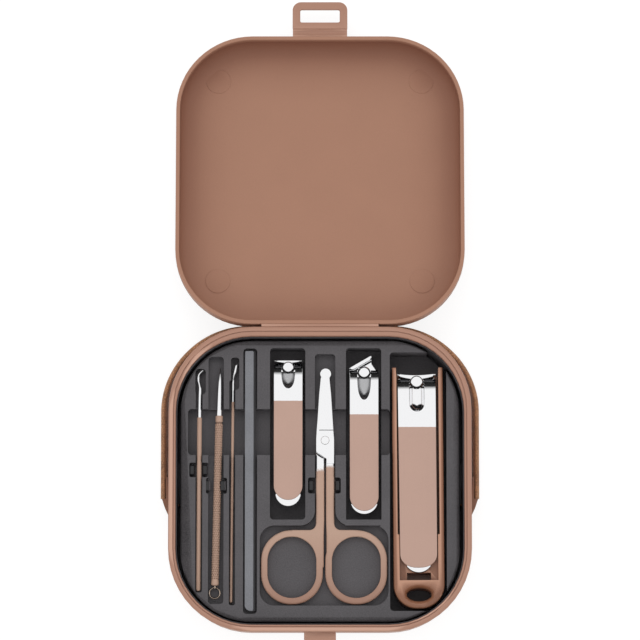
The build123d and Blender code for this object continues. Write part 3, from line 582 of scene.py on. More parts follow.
# the edge tints of the plastics below are painted highlights on their convex edges
case_plastic = moulded("case plastic", colour(168, 124, 104), 0.30, 0.035, 0.42, 0.10, 0.6,
                       colour(220, 178, 156))
lid_plastic = moulded("lid plastic", colour(168, 125, 104), 0.30, 0.030, 0.50, 0.10, 0.6,
                      colour(208, 166, 148), 0.2, lid_wall_shade_tint)
land_plastic = moulded("land plastic", colour(167, 124, 103), 0.30, 0.030, 0.50, 0.10, gloss=0.2,
                       deep=lid_wall_shade_tint)
catcher_plastic = moulded("catcher plastic", colour(140, 94, 70), 0.25, 0.03, 0.30, 0.06, 0.7,
                          colour(205, 156, 130))
tray_plastic = moulded("tray plastic", colour(71, 68, 70), 0.45, 0.30, 0.5, 0.7, 0.3,
                       colour(124, 122, 125), 0.12)
# near black: painted shade of the snap recesses, over the tray's own dark plastic
snap_plastic = moulded("snap plastic", colour(30, 29, 31), 0.4, 0.1, 0.22, 0.1)
file_grit = moulded("file grit", colour(124, 125, 130), 0.22, 0.16, 0.7, 0.5)
# dark board: partly its own colour, partly painted shade along the file's right edge
file_board = moulded("file board", colour(52, 50, 52), 0.4, 0.08, 0.6, 0.2)
chrome_steel = chrome("chrome steel")
pressed_steel = chrome("pressed steel", (0.52, 0.52, 0.53, 1.0), 0.24)
warm_steel = chrome("warm steel", (0.62, 0.50, 0.41, 1.0), 0.25)
# darkened steel for the clippers' pins: a painted shade of the slot round them
pin_shade_steel = chrome("pin shade steel", (0.22, 0.22, 0.23, 1.0), 0.3)
strap_end = moulded("strap end", colour(140, 98, 76), 0.3, 0.05, 0.5, 0.15)
strap_hide = leather("strap hide", colour(176, 128, 92), colour(88, 58, 38), colour(205, 165, 130))


def coated(mesh, material):
    mesh.materials.clear()
    mesh.materials.append(material)


def dressed(obj, material, body, slot, *nodes):
    """Give a finished piece its material, its body and the nodes it stands for."""
    coated(obj.data, material)
    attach(obj, body)
    if nodes:
        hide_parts(*nodes)
    return obj


def repaint(node, material):
    """New material on a CAD node that keeps its shape."""
    coated(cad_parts[node].data, material)


# ======== base

def base_ring(inset, z):
    return lifted(rounded(base_w - 2 * inset, base_l - 2 * inset, base_r - inset), z)


def well_ring(grow, z):
    w, l = base_w - 2 * well_side, base_l - well_front - well_back
    return lifted(rounded(w + 2 * grow, l + 2 * grow, base_r - well_side + grow,
                          y=(well_front - well_back) / 2), z)


def make_base():
    flange_under = base_h - flange_t
    groove_out = groove_in + groove_w
    flange_r, groove_deep = 0.5, 0.42
    rings = [base_ring(*place) for place in arc(foot_r, -90, -180, 6, base_wall + foot_r, foot_r)]
    rings += [base_ring(inset, flange_under + up)
              for inset, up in ((base_wall, -0.3), (base_wall - 0.15, 0), (0.3, 0), (0.0, 0.3))]
    rings += [base_ring(*place) for place in arc(flange_r, 180, 90, 4, flange_r, base_h - flange_r)]
    rings += [base_ring(inset, base_h - down)
              for inset, down in ((groove_in - 0.08, 0), (groove_in, 0.08), (groove_in + 0.04, groove_deep),
                                  (groove_out - 0.04, groove_deep), (groove_out, 0.16))]
    rings += [well_ring(bead_r - x, base_h - bead_r + y) for x, y in arc(bead_r, 100, 0, 5)]
    rings += [well_ring(grow, base_floor + up) for grow, up in ((0.0, 0.8), (-0.25, 0.25), (-0.8, 0))]
    shell = skin("base_case", rings)
    # slot in the wall for each end of the strap
    slot, slot_from, slot_to, half_t = Span("strap_end_right"), 5.3, 21.0, 1.6
    for side in (-1, 1):
        wall_x = side * base_w * 0.47
        shell = carve(shell, block("slot_cutter", wall_x - 3.0, wall_x + 5.0 * side + 3.0,
                                   slot.y0 + slot_from, slot.y0 + slot_to, slot.z - half_t, slot.z + half_t))
    return dressed(shell, case_plastic, "case_base", "case_plastic", "base_shell")


def make_catch():
    """Rounded catch that the hasp's window drops over."""
    front = base.y0
    root = -base_l / 2 + base_wall + 0.6
    top, low, half_w = 20.4, 15.7, 6.5
    profile = [(root, low), (front + 0.7, low), (front, low + 1.0), (front, top - 1.5),
               (front + 0.35, top - 0.75), (front + 0.9, top - 0.2), (front + 1.6, top), (root, top)]
    catch = soften(side_plate("latch_catch", profile, -half_w, half_w), 0.35)
    return dressed(catch, case_plastic, "case_base", "case_plastic")


# ======== lid, hinge and hasp

def dropped(obj):
    """Turn a piece of the flat-open lid to where it rests."""
    return turn(obj, -lid_drop, "X", (0, hinge_y, hinge_z))


def lid_ring(inset, z):
    return lifted(rounded(lid_w - 2 * inset, lid_l - 2 * inset, lid_r - inset, y=lid_mid_y, steps=16), z)


# amount of painted shade at distances from the lid's wall
wall_shade_amounts = [(-1.0, 0.42), (0.0, 0.42), (4.5, 0.34), (8.0, 0.17), (12.0, 0.09), (18.0, 0.03), (26.0, 0.0),
              (999.0, 0.0)]


def near_wall(x, y):
    """Amount of painted shade at a place inside the lid: most beside the far wall, least beside the near one.
    """
    half_w, half_l, r = lid_w / 2 - lid_wall, lid_l / 2 - lid_wall, lid_r - lid_wall
    out_x, out_y = abs(x) - half_w + r, abs(y - lid_mid_y) - half_l + r
    away = r - hypot(max(out_x, 0), max(out_y, 0)) - min(max(out_x, out_y), 0)
    amount = next(v0 + (v1 - v0) * (away - a0) / (a1 - a0)
                  for (a0, v0), (a1, v1) in zip(wall_shade_amounts, wall_shade_amounts[1:]) if away <= a1)
    share = (y - lid_mid_y) / half_l
    return amount * (1 + 0.2 * share if share > 0 else 1 - 0.65 * share * share)


def shade_near_walls(obj, first=0):
    """Write the amount of painted shade on a piece of the lid before it is dropped, from one vertex on."""
    values = [near_wall(v.co.x / MM, v.co.y / MM) if v.index >= first else 0.0 for v in obj.data.vertices]
    obj.data.attributes.new("wall_shade", "FLOAT", "POINT").data.foreach_set("value", values)
    return obj


def make_lid():
    bottom = base_h - lid_h
    floor = bottom + lid_floor
    inner_r = lid_edge_r - lid_wall + 1.6
    rings = [lid_ring(*place) for place in arc(lid_edge_r, -90, -180, 8, lid_edge_r, bottom + lid_edge_r)]
    rings += [lid_ring(*place) for place in arc(rim_r, 180, 90, 4, rim_r, base_h - rim_r)]
    rings += [lid_ring(*place) for place in arc(rim_r, 90, 0, 4, lid_wall - rim_r, base_h - rim_r)]
    outside = len(rings) * len(rings[0])
    rings += [lid_ring(lid_wall + inner_r - x, floor + inner_r - y) for x, y in arc(inner_r, 0, 90, 9)]
    # more rings across the floor carry the painted shade
    rings += [lid_ring(lid_wall + inner_r + inset, floor) for inset in (1.5, 3.5, 6.0, 9.0, 13.0, 18.0)]
    shell = dropped(shade_near_walls(skin("lid_shell_moulded", rings), outside))
    return dressed(shell, lid_plastic, "lid", "case_plastic", "lid_shell")


def geometry_tree(name, inputs):
    """Empty Geometry Nodes tree with its number inputs."""
    return node_group("GeometryNodeTree", name, {"Geometry": GEOMETRY, **inputs}, ["Geometry"], GEOMETRY)


def finish_tree(w, geometry, sink, ids):
    """End of every tree: real geometry with its material."""
    real = w.out("GeometryNodeRealizeInstances", inputs=(geometry,))
    w.give(sink, Geometry=w.out("GeometryNodeSetMaterial", inputs={"Geometry": real}))
    return w.tree, ids


def grown(name, tree_and_ids, values, material, angle=40, data=None):
    """Run a Geometry Nodes tree on a curve or an empty mesh and keep its result as a plain mesh."""
    tree, ids = tree_and_ids
    for node in tree.nodes:
        if node.bl_idname == "GeometryNodeSetMaterial":
            node.inputs["Material"].default_value = material
    seed = link(bpy.data.objects.new(name, data or bpy.data.meshes.new("seed")))
    modifier = put(seed.modifiers.new(name, "NODES"), node_group=tree)
    for title, value in values.items():
        modifier[ids[title]] = value
    return final(seed, angle)


def make_disc_tree():
    """Four faint round lands set out on a rectangle."""
    w, source, sink, ids = geometry_tree(
        "Lid lands", {"Spacing X": 0.08, "Spacing Y": 0.08, "Radius": 0.005, "Height": 0.0002})
    grid = w.out("GeometryNodeMeshGrid", inputs={
        "Size X": source["Spacing X"], "Size Y": source["Spacing Y"], "Vertices X": 2, "Vertices Y": 2})
    foot = w.out("GeometryNodeMeshCone", fill_type="NGON", inputs={
        "Vertices": 48, "Radius Top": source["Radius"], "Radius Bottom": source["Radius"],
        "Depth": source["Height"]})
    spots = w.out("GeometryNodeInstanceOnPoints", inputs={"Points": grid, "Instance": foot})
    return finish_tree(w, spots, sink, ids)


def make_lid_lands():
    # the lands lie a little wider apart and further off than the CAD ones
    x, y, r, off, sunk = disc_x + 0.5, disc_y + 0.8, 1.07 * disc_r, 1.9, 0.3
    lands = grown("lid_lands", make_disc_tree(), {
        "Spacing X": 2 * x * MM, "Spacing Y": 2 * y * MM, "Radius": r * MM, "Height": (disc_h + sunk) * MM},
        land_plastic)
    moved(lands, 0, lid_mid_y + off, base_h - lid_h + lid_floor - sunk)
    lands = soften(lands, 0.1, 2)
    return dressed(dropped(shade_near_walls(lands)), land_plastic, "lid", "case_plastic")


def bending(strip, node):
    """Thin moulded strip: it takes the case plastic, hides the CAD node it stands for and keeps its place in
    its mesh.
    """
    coated(strip.data, case_plastic)
    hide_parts(node)
    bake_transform(strip)


def make_hinge_web():
    """Thin moulded hinge with a crease line along each rim."""
    y0, y1 = base.y1 - 0.15, lid_near_y + 0.15
    top = base_h - 0.12
    profile = [(y0, top - 0.55), (y0, top - 0.05), (y0 + 0.12, top - 0.28), (y0 + 0.3, top),
               (y1 - 0.3, top), (y1 - 0.12, top - 0.28), (y1, top - 0.05), (y1, top - 0.55)]
    strip = side_plate("lid_hinge_strip", profile, web.x0, web.x0 / 2, 0, web.x1 / 2, web.x1)
    bending(strip, "hinge_web")


def make_hasp():
    y_root, y_end = lid_far_y + hasp_root, lid_far_y + hasp_len
    z0, z1 = base_h - hasp_t, base_h
    half = hasp_w / 2
    outline = [(half, y_root + 0.05), *arc(hasp_r, 0, 90, 10, half - hasp_r, y_end - hasp_r),
               *arc(hasp_r, 90, 180, 10, -half + hasp_r, y_end - hasp_r), (-half, y_root + 0.05)]
    window = rounded(window_w, window_h, 0.7, 0, lid_far_y + window_in + window_h / 2, 6)
    plate = carve(prism("hasp_plate", outline, z0, z1), prism("window_cutter", window, z0 - 1, z1 + 1))
    dressed(dropped(soften(plate, 0.28)), case_plastic, "hasp", "case_plastic", "hasp")
    # the strip at its root, creased at both ends
    low = z0 + 0.75
    profile = [(lid_far_y - 0.2, z0), (lid_far_y - 0.2, low), (lid_far_y + 0.35, low + 0.12),
               (lid_far_y + 0.9, low - 0.2), (y_root - 0.9, low - 0.2), (y_root - 0.35, low + 0.12),
               (y_root + 0.15, low), (y_root + 0.15, z0)]
    strip = side_plate("hasp_hinge_strip", profile, -half + 0.1, -half / 2, 0, half / 2, half - 0.1)
    bending(dropped(strip), "hasp_web")


# ======== strap

def make_strap_tree():
    """Flat band with rounded edges drawn along a path."""
    w, source, sink, ids = geometry_tree(
        "Strap band", {"Thickness": 0.0022, "Width": 0.0065, "Edge Radius": 0.0007})
    section = w.out("GeometryNodeCurvePrimitiveQuadrilateral", inputs={
        "Width": source["Thickness"], "Height": source["Width"]})
    eased = w.out("GeometryNodeFilletCurve", mode="POLY", inputs={
        "Curve": section, "Radius": source["Edge Radius"], "Count": 4})
    band = w.out("GeometryNodeCurveToMesh", inputs={
        "Curve": source["Geometry"], "Profile Curve": eased, "Fill Caps": True})
    return finish_tree(w, band, sink, ids)


def make_strap():
    """Band that leans out along the sides and stands upright behind the case."""
    lean, thick, r = 16.0, 1.8, base_r
    height = strap.z1 - strap.z0
    side_x = strap.x1 - (thick * cos(radians(lean)) + height * sin(radians(lean))) / 2
    back_x = strap.x1 - thick / 2 - 1.3
    back = strap.y1 - thick / 2 - 0.3
    side_steps, bend_steps = 12, 24
    path = [(side_x, strap.y0 + k * (back - r - strap.y0) / side_steps, lean) for k in range(side_steps)]
    for k in range(bend_steps + 1):
        a = radians(90 * k / bend_steps)
        share = k / bend_steps
        ease = share * share * (3 - 2 * share)
        mid_x = side_x + (back_x - side_x) * ease
        path.append((mid_x - r + r * cos(a), back - r + r * sin(a), lean * (1 - min(1.0, 2 * share))))
    path.append((0, back, 0.0))
    path += [(-x, y, tilt) for x, y, tilt in reversed(path[:-1])]
    curve, spline = path_curve("strap_path", "POLY", [(x, y, strap.z) for x, y, tilt in path])
    spline.points.foreach_set("tilt", [radians(tilt) for x, y, tilt in path])
    band = grown("strap_band_hide", make_strap_tree(), {
        "Thickness": thick * MM, "Width": height * MM, "Edge Radius": 0.75 * MM}, strap_hide, 50, curve)
    dressed(band, strap_hide, "strap", "strap_leather", "strap_band")
    # the nose of each end leans in against the flange
    nose_len, nose_in = 11.0, 0.8
    for node, side in (("strap_end_left", -1), ("strap_end_right", 1)):
        end = soften(copy_of(node, node + "_moulded"), 0.25)
        nose_y = Span(node).y0 + nose_len
        for vertex in end.data.vertices:
            share = max(0.0, (nose_y - vertex.co.y / MM) / nose_len)
            vertex.co.x -= side * nose_in * share * share * MM
        dressed(end, strap_end, "strap", "case_plastic", node)


# ======== tray

def lining(piece, *nodes):
    dressed(piece, tray_plastic, "case_base", "tray_plastic", *nodes)


def make_tray():
    liner = copy_of("tray_insert", "tray_liner")
    # the slanted clipper's pocket ends level with the straight one's
    leaf, deck = Span("slanted_clipper_upper_leaf"), tray.z1
    side_gap, end_gap, deepest = 1.8, 5.4, 9.0
    end = Span("straight_clipper_lever").y0 - end_gap
    shelf = Span("scissors_half_left").z0 - 0.35
    for name, near, low, high in (("pocket_end", end - 2.4, shelf - 1.0, deck),
                                  ("pocket_foot", end - 3.4, deck - deepest, shelf - 0.06)):
        filler = block(name, leaf.x0 - side_gap, leaf.x1 + side_gap, near, end, low, high)
        liner = carve(liner, filler, "UNION")
    lining(even_flats(soften(merged(liner), 0.25, 2, 45, harden=True)), "tray_insert")
    lining(prism("tray_lining", [(x, y) for x, y, z in well_ring(-0.3, 0)], 1.95, 2.5))
    # upright skirt of the liner, close inside the case wall
    gap, top, foot = 0.03, base_h - 1.3, 2.6
    skirt = skin("tray_skirt", [well_ring(-inset, z) for inset, z in (
        (gap, foot), (gap, top - 0.15), (0.15, top), (0.4, top), (0.5, top - 0.15), (0.5, foot))], loop=True)
    # it leaves room for the strap's studs, under small hoods
    stud, stud_x = Span("strap_end_right"), 58
    for side in (-1, 1):
        skirt = carve(skirt, block("stud_cutter", side * stud_x - 3, side * stud_x + 3,
                                   stud.y0 + 3.0, stud.y1 + 8.0, 0, stud.z + 1.8))
        across = sorted((side * (stud.x0 - 0.3), side * (base_w / 2 - well_side - gap)))
        lining(block("stud_hood", *across, stud.y0 + 4.8, stud.y0 + 21.5, stud.z + 1.9, stud.z + 2.5))
    lining(skirt)
    # glossy snap fingers beside ear pick, needle tool and scissors, near black as a painted shade of their
    # recesses: centre, gap between them, length
    finger_w, finger_r, finger_h, below_deck = 1.95, 0.7, 4.0, 0.25
    for name, x, y, apart, length in (("ear_pick", Span("ear_pick_handle").x - 0.2, 3.9, 5.35, 4.4),
                                      ("needle", Span("needle_tool_handle").x - 1.0, -2.6, 6.4, 4.8),
                                      ("scissors", Span("scissors_rivet").x - 0.3, -2.5, 10.95, 4.8)):
        for side in (-1, 1):
            outline = rounded(finger_w, length, finger_r, x + side * apart / 2, y, 6)
            finger = prism(name + "_snap_finger", outline, deck - finger_h, deck - below_deck)
            dressed(soften(finger, 0.85, 5, 50), snap_plastic, "case_base", "tray_plastic")


# ======== slim tools

def leaned(obj, degrees, x, y):
    """Turn a slim tool in plan about its front."""
    return turn(obj, -degrees, "Z", (x, y, 0))


def make_ear_pick():
    handle, spoon = Span("ear_pick_handle"), Span("ear_pick_spoon")
    x, z, lean = ear_pick_x, handle.z, 0.25
    y0, y1, top = handle.y0, handle.y1, spoon.y1
    r = (handle.z1 - handle.z0) / 2
    grip = turned("ear_pick_grip", [(y0, r - 0.45), (y0 + 0.15, r - 0.2), (y0 + 0.5, r), (y1 - 0.3, r),
                                    (y1, r - 0.2)], x, z, upright=False)
    dressed(leaned(grip, lean, x, y1), plain_paint, "ear_pick", "painted_steel", "ear_pick_handle")
    # the scoop's wire: sideways set, place along and thickness at each control point
    points = [(0.0, y1 - 0.2, 1.0), (0.05, top - 14, 1.0), (0.15, top - 9.2, 1.0), (0.2, top - 7.6, 0.9),
              (-0.1, top - 5.9, 0.72), (-0.65, top - 4.2, 0.7), (-0.35, top - 2.2, 0.9),
              (0.5, top - 0.9, 0.9), (1.35, top - 0.15, 0.6)]
    scoop = wire("ear_pick_scoop", [(x + shift, y, z) for shift, y, radius in points],
                 [radius for shift, y, radius in points], 0.78)
    dressed(scoop, chrome_steel, "ear_pick", "chrome_steel", "ear_pick_spoon")


def make_knurl_tree():
    """Small pyramids set round and along a rod."""
    w, source, sink, ids = geometry_tree(
        "Knurling", {"Rows": 80, "Around": 12, "Radius": 0.0014, "Pitch": 0.0008, "Bump": 0.0003})
    around = source["Around"]
    line = w.out("GeometryNodeMeshLine", inputs={"Count": w.math("MULTIPLY", source["Rows"], around)})
    index = w.out("GeometryNodeInputIndex")
    row = w.math("FLOOR", w.math("DIVIDE", index, around))
    step = w.math("SUBTRACT", index, w.math("MULTIPLY", row, around))
    half = w.math("MULTIPLY", w.math("MODULO", row, 2.0), 0.5)
    angle = w.math("MULTIPLY", w.math("DIVIDE", w.math("ADD", step, half), around), 2 * pi)
    across, up = w.math("COSINE", angle), w.math("SINE", angle)
    place = w.out("ShaderNodeCombineXYZ", inputs=(
        w.math("MULTIPLY", across, source["Radius"]), w.math("MULTIPLY", row, source["Pitch"]),
        w.math("MULTIPLY", up, source["Radius"])))
    set_out = w.out("GeometryNodeSetPosition", inputs={"Geometry": line, "Position": place})
    facing = w.out("ShaderNodeCombineXYZ", inputs=(across, 0.0, up))
    align = w.out("FunctionNodeAlignRotationToVector", axis="Z", inputs={"Vector": facing})
    tooth = w.out("GeometryNodeMeshCone", fill_type="NONE", inputs={
        "Vertices": 4, "Radius Top": 0.0, "Radius Bottom": w.math("MULTIPLY", source["Bump"], 1.7),
        "Depth": source["Bump"]})
    spots = w.out("GeometryNodeInstanceOnPoints", inputs={
        "Points": set_out, "Instance": tooth, "Rotation": align})
    return finish_tree(w, spots, sink, ids)


def make_needle_tool():
    handle, tip = Span("needle_tool_handle"), Span("needle_tool_tip")
    x, z, lean = needle_x, handle.z, 1.3
    y0, y1 = handle.y0, handle.y1
    r = (handle.z1 - handle.z0) / 2
    core = r - 0.2

    def placed(piece, material, slot, *nodes):
        dressed(leaned(piece, lean, x, y1), material, "needle_tool", slot, *nodes)

    def rod(name, *stations, angle=32):
        return turned(name, stations, x, z, upright=False, angle=angle)

    # the grip's core takes a painted shade between the knurl's teeth
    placed(rod("needle_grip", (y0, 0.5), (y0 + 0.5, core - 0.2), (y0 + 1.4, core), (y1 - 1.0, core),
               (y1 - 0.25, core - 0.1), (y1, core - 0.45)),
           valley_shade_paint, "painted_steel", "needle_tool_handle")
    # smooth collar at each end of the knurling
    placed(rod("needle_ferrule", (y1 - 2.6, core), (y1 - 2.4, r), (y1 - 0.3, r), (y1, r - 0.25)),
           plain_paint, "painted_steel")
    placed(rod("needle_heel", (y0, r * 0.55), (y0 + 0.3, r), (y0 + 1.0, r * 1.1), (y0 + 2.6, r),
               (y0 + 2.8, core)), plain_paint, "painted_steel")
    pitch, collars = 0.95, 6.0
    knurl = grown("needle_grip_knurl", make_knurl_tree(), {
        "Rows": int((y1 - y0 - collars) / pitch), "Around": 9, "Radius": core * MM, "Pitch": pitch * MM,
        "Bump": 0.36 * MM}, plain_paint, 20)
    placed(moved(knurl, x, y0 + 3.3, z), plain_paint, "painted_steel")
    shaft_r = (tip.z1 - tip.z0) / 2
    length = tip.y1 - y1
    placed(rod("needle_point", (y1 - 0.1, shaft_r + 0.3), (y1 + 0.45 * length, shaft_r + 0.16),
               (y1 + 0.7 * length, shaft_r * 0.92), (y1 + 0.87 * length, shaft_r * 0.55),
               (tip.y1 - 0.25, 0.18), (tip.y1, 0.05), angle=40),
           chrome_steel, "chrome_steel", "needle_tool_tip")
    loop_r, wire_r = 2.2, 0.36
    loop_y = y0 - loop_r - 0.8
    section = list(arc(wire_r, 0, 360, 12))[:-1]
    loop = skin("needle_eyelet", [[(x + (loop_r + out) * cos(a), loop_y + (loop_r + out) * sin(a), z + up)
                                   for out, up in section] for a in circle(48)], loop=True)
    stem = turned("eyelet_stem", [(y0 - 1.1, wire_r), (y0 + 0.6, wire_r)], x, z, 16, False)
    placed(carve(loop, stem, "UNION"), warm_steel, "chrome_steel", "needle_tool_loop")


def make_pusher():
    handle, blade = Span("cuticle_pusher_handle"), Span("cuticle_pusher_blade")
    x, z, lean = pusher_x, handle.z, 0.45
    y0, y1 = handle.y0, handle.y1
    r = (handle.z1 - handle.z0) / 2 - 0.15
    grip = turned("pusher_grip", [(y0, r - 0.35), (y0 + 0.3, r), (y1 - 0.2, r), (y1, r - 0.12)], x, z,
                  upright=False)
    dressed(leaned(grip, lean, x, y1), plain_paint, "cuticle_pusher", "painted_steel", "cuticle_pusher_handle")
    bend = blade.y1 - 7.2
    # place along, sideways set, half thickness, half height of each section
    sections = [(y1 - 0.1, 0.0, r, r), (bend - 1.0, 0.0, r, r), (bend + 0.4, 0.12, r, r * 1.05),
                (bend + 2.2, 0.5, 0.86, 0.95), (bend + 4.2, 0.95, 0.84, 0.95), (bend + 6.0, 1.3, 0.8, 0.95),
                (blade.y1 - 0.3, 1.5, 0.7, 0.9), (blade.y1, 1.55, 0.4, 0.7)]
    rings = [[(x + shift + a * cos(t), y, z + b * sin(t)) for t in circle(24)] for y, shift, a, b in sections]
    dressed(skin("pusher_spade", rings, 50), chrome_steel, "cuticle_pusher", "chrome_steel",
            "cuticle_pusher_blade")


def make_file():
    """Board with a grit face each side; the upper face slopes off along its right edge, where the dark board
    shows: its darkness is partly the board's own colour and partly painted shade of that edge.
    """
    core, upper, lower = Span("file_core"), Span("file_face_upper"), Span("file_face_lower")
    small, broad, sharp = 0.6, 2.4, 0.4       # corner radii

    def ring(inset_right, inset, z):
        x0, x1 = core.x0 + inset, core.x1 - inset - inset_right
        y0, y1 = core.y0 + inset, core.y1 - inset
        return lifted([*arc(small, 0, 90, 4, x1 - small, y1 - small),
                       *arc(small, 90, 180, 4, x0 + small, y1 - small),
                       *arc(broad, 180, 270, 8, x0 + broad, y0 + broad),
                       *arc(sharp, 270, 360, 4, x1 - sharp, y0 + sharp)], z)

    board = [(0, 0.12, core.z0), (0, 0, core.z0 + 0.12), (0, 0, core.z1 - 0.1), (0.05, 0.05, core.z1)]
    face = [(0.75, 0.05, upper.z0), (0.78, 0.08, upper.z0 + 0.05), (0.85, 0.12, upper.z1 - 0.06),
            (0.9, 0.2, upper.z1)]
    under = [(0, 0.2, lower.z0), (0, 0.12, lower.z0 + 0.06), (0, 0.12, lower.z1)]
    for name, rings, angle, material, slot, node in (
            ("file_board", board, 32, file_board, "file_core", "file_core"),
            ("file_grit_upper", face, 20, file_grit, "file_abrasive", "file_face_upper"),
            ("file_grit_lower", under, 20, file_grit, "file_abrasive", "file_face_lower")):
        dressed(skin(name, [ring(*row) for row in rings], angle), material, "nail_file", slot, node)


# ======== nail clippers

def both_sides(shares, half):
    """Places across at shares of a half width, on both sides."""
    return {s * half for s in shares} | {-s * half for s in shares}


class Clipper:
    """One lever clipper; places come from its CAD nodes."""

    rise = apex = heel = 0.0     # slanted bar's rise, place across of its end, drop of the blade's heel
    bar_step = 3.4               # the heel starts this far below the bar's end
    bar_slant = 30.0             # degrees
    hollow = 0.0                 # depth of hollow jaws at their middle
    paint_front = 0.0            # front line of the lever's paint
    paint_end = 2.8              # lever's tail to the end of the painted plate
    tail_depth, tail_power = 5.8, 2.0      # rounding of the plate's end
    tongue_half, tongue_r = 5.3, 5.35
    lean = shift = 0.0           # turn in plan about the post, degrees, and shift across
    jaw_trim = 0.07              # share by which the jaws are narrower
    leaf_trim = 0.25             # each side of the leaf behind them
    spread = 0.0                 # lever's extra half width at its front
    band = 0.75                  # jaw's flat band, front to back at its sides

    def __init__(self, name, **own):
        self.name = name
        for key, ending in (("low", "lower_leaf"), ("up", "upper_leaf"), ("arm", "lever"), ("post", "post"),
                            ("pin", "pin")):
            setattr(self, key, Span(name + "_" + ending))
        put(self, **own)
        self.x = self.up.x
        self.tip = self.up.y1 - self.rise     # mean jaw front
        self.mid = (self.low.z1 + self.up.z0) / 2
        self.half = self.up.w / 2
        self.open = self.mid - self.low.z0    # half the height over the leaves
        self.knuckle = self.arm.y1 - self.post.y

    def front(self, x):
        """Front of the jaws at a place across, from the centre line."""
        if not self.rise:
            return self.tip - self.hollow * (1 - (x / self.half) ** 2)
        if x <= self.apex:
            return self.tip + self.rise - (self.apex - x) * tan(radians(self.bar_slant))
        share = (x - self.apex) / (self.half - self.apex)
        return self.tip + self.rise - self.bar_step - share * (self.rise + self.heel - self.bar_step)

    def tail(self, x):
        """Rounded tail of the leaves."""
        r = self.half * 0.6
        over = max(0.0, abs(x) - (self.half - r))
        return self.up.y0 + r - sqrt(max(r * r - over * over, 0.0))

    def stations(self):
        """Places across the leaf, closer together towards its sides."""
        shares = [0, 0.2, 0.4, 0.6, 0.75, 0.86, 0.93, 0.97, 1.0]
        return sorted(both_sides(shares, self.half) | {self.apex, self.apex + 0.05})

    def lip(self, x, upper):
        """Jaw seen from the side, from its cutting edge up and back to the leaf's flat."""
        m = self.open
        front = self.front(x)
        if not self.rise:
            back = self.band + 0.7 * (1 - (x / self.half) ** 2)
            rise, dip = (0.6, 1.15) if upper else (0.0, 0.5)
            marks = [(0.0, 0.45), (0.02, 1.5), (0.1, m + rise - 0.45), (0.25, m + rise - 0.1),
                     (0.45, m + rise), (back, m + rise), (back + 0.15, m + rise - 0.15),
                     (back + 0.4, m + rise - 0.5), (back + 1.4, m - dip), (back + 1.8, m - dip * 0.75),
                     (back + 2.4, m - 0.15), (back + 3.1, m)]
        elif upper and x <= self.apex:
            # the bar stops short of the lever's knuckle
            back = min(2.0, front - self.arm.y1 - 0.5)
            marks = [(0.0, 0.45), (0.02, 1.5), (0.1, m + 0.1), (0.3, m + 0.5), (0.6, m + 0.6),
                     (back, m + 0.6), (back + 0.16, m + 0.45), (back + 0.22, m - 0.35),
                     (back + 0.62, m - 0.3), (back + 0.95, m - 0.1), (back + 1.2, m - 0.02), (back + 1.5, m)]
        else:
            marks = [(0.0, 0.45), (0.02, 1.5), (0.08, m - 0.5), (0.2, m - 0.15), (0.45, m - 0.02),
                     (0.7, m), (0.9, m), (1.1, m), (1.3, m), (1.5, m), (1.7, m), (1.9, m)]
        return [(front - behind, z) for behind, z in marks]

    def section(self, x, upper):
        """Side outline of a leaf as (y, z) points."""
        m = self.open
        front, tail = self.front(x), self.tail(x)
        flat, slope_y = self.up.y0 + 12.0, self.tip - 6.8      # the spring's slope ends and starts here
        thin, sole, steps = 1.3, 0.02, 8
        jaw = [(max(y, slope_y - 0.5), z) for y, z in self.lip(x, upper)]
        over, under = [], []
        for k in range(steps + 1):
            t = k / steps
            ease = t * t * (3 - 2 * t) * 0.5 + t * 0.5
            y = slope_y - 0.6 + (flat - slope_y + 0.6) * t
            over.append((y, m + (thin + sole - m) * ease))
            under.insert(0, (y, m - thin + (sole - m + thin) * ease))
        over.append((tail, thin + sole))
        under.insert(0, (tail, sole))
        under += [(front - 2.2, m - thin - 0.6), (front - 0.9, 1.5), (front - 0.45, 0.55)]
        sign = 1 if upper else -1
        return [(y, self.mid + sign * z) for y, z in jaw + over + under]

    def widened(self, piece, scale):
        """Scale a piece across by a share that depends on the place along."""
        for vertex in piece.data.vertices:
            vertex.co.x = self.x * MM + (vertex.co.x - self.x * MM) * scale(vertex.co.y / MM)

    def leaf(self, upper):
        name = self.name + ("_upper_leaf" if upper else "_lower_leaf")
        rings = [[(self.x + x, y, z) for y, z in self.section(x, upper)] for x in self.stations()]
        plate = skin(name + "_spring", rings, 38)

        def width(y):
            """The jaws and the leaf behind them keep their own widths."""
            near = min(1.0, max(0.0, (y - self.tip + 6.0) / 5.0))
            return 1 - self.jaw_trim * near - self.leaf_trim / self.half * (1 - near)

        self.widened(plate, width)
        hole_r, reach = 1.5, 12
        hole = turned("post_cutter", [(self.mid - reach, hole_r), (self.mid + reach, hole_r)], self.x,
                      self.post.y)
        plate = carve(plate, hole, angle=38)
        body = self.name + ("_jaw" if upper else "")
        self.placed(dressed(soften(plate, 0.12, 2, 50), chrome_steel, body, "chrome_steel", name))

    def placed(self, piece):
        """Turn and shift a piece in plan with the clipper it belongs to."""
        return moved(turn(piece, self.lean, "Z", (self.x, self.post.y, 0)), self.shift, 0, 0)

    def slot_outline(self, grow, straight):
        """Opening behind the post, pear-shaped or straight-sided."""
        head = (self.post.x1 - self.post.x0) / 2
        half = head + 0.75 + grow
        y_far = self.slot_end - grow
        front = self.arm.y1 + 2
        shoulder = y_far + half if straight else self.post.y - 1.5
        side = [(half, front), (half, shoulder)]
        if straight:
            side += [(half * cos(radians(a)), shoulder - half * sin(radians(a))) for a in range(15, 90, 15)]
        else:
            length = shoulder - y_far
            for share in (0.2, 0.4, 0.55, 0.68, 0.78, 0.86, 0.92, 0.96, 0.985):
                side.append((half * sqrt(1 - share ** 2.8), shoulder - length * share))
        points = side + [(0, y_far)] + [(-x, y) for x, y in reversed(side)]
        return [(self.x + x, y) for x, y in points]

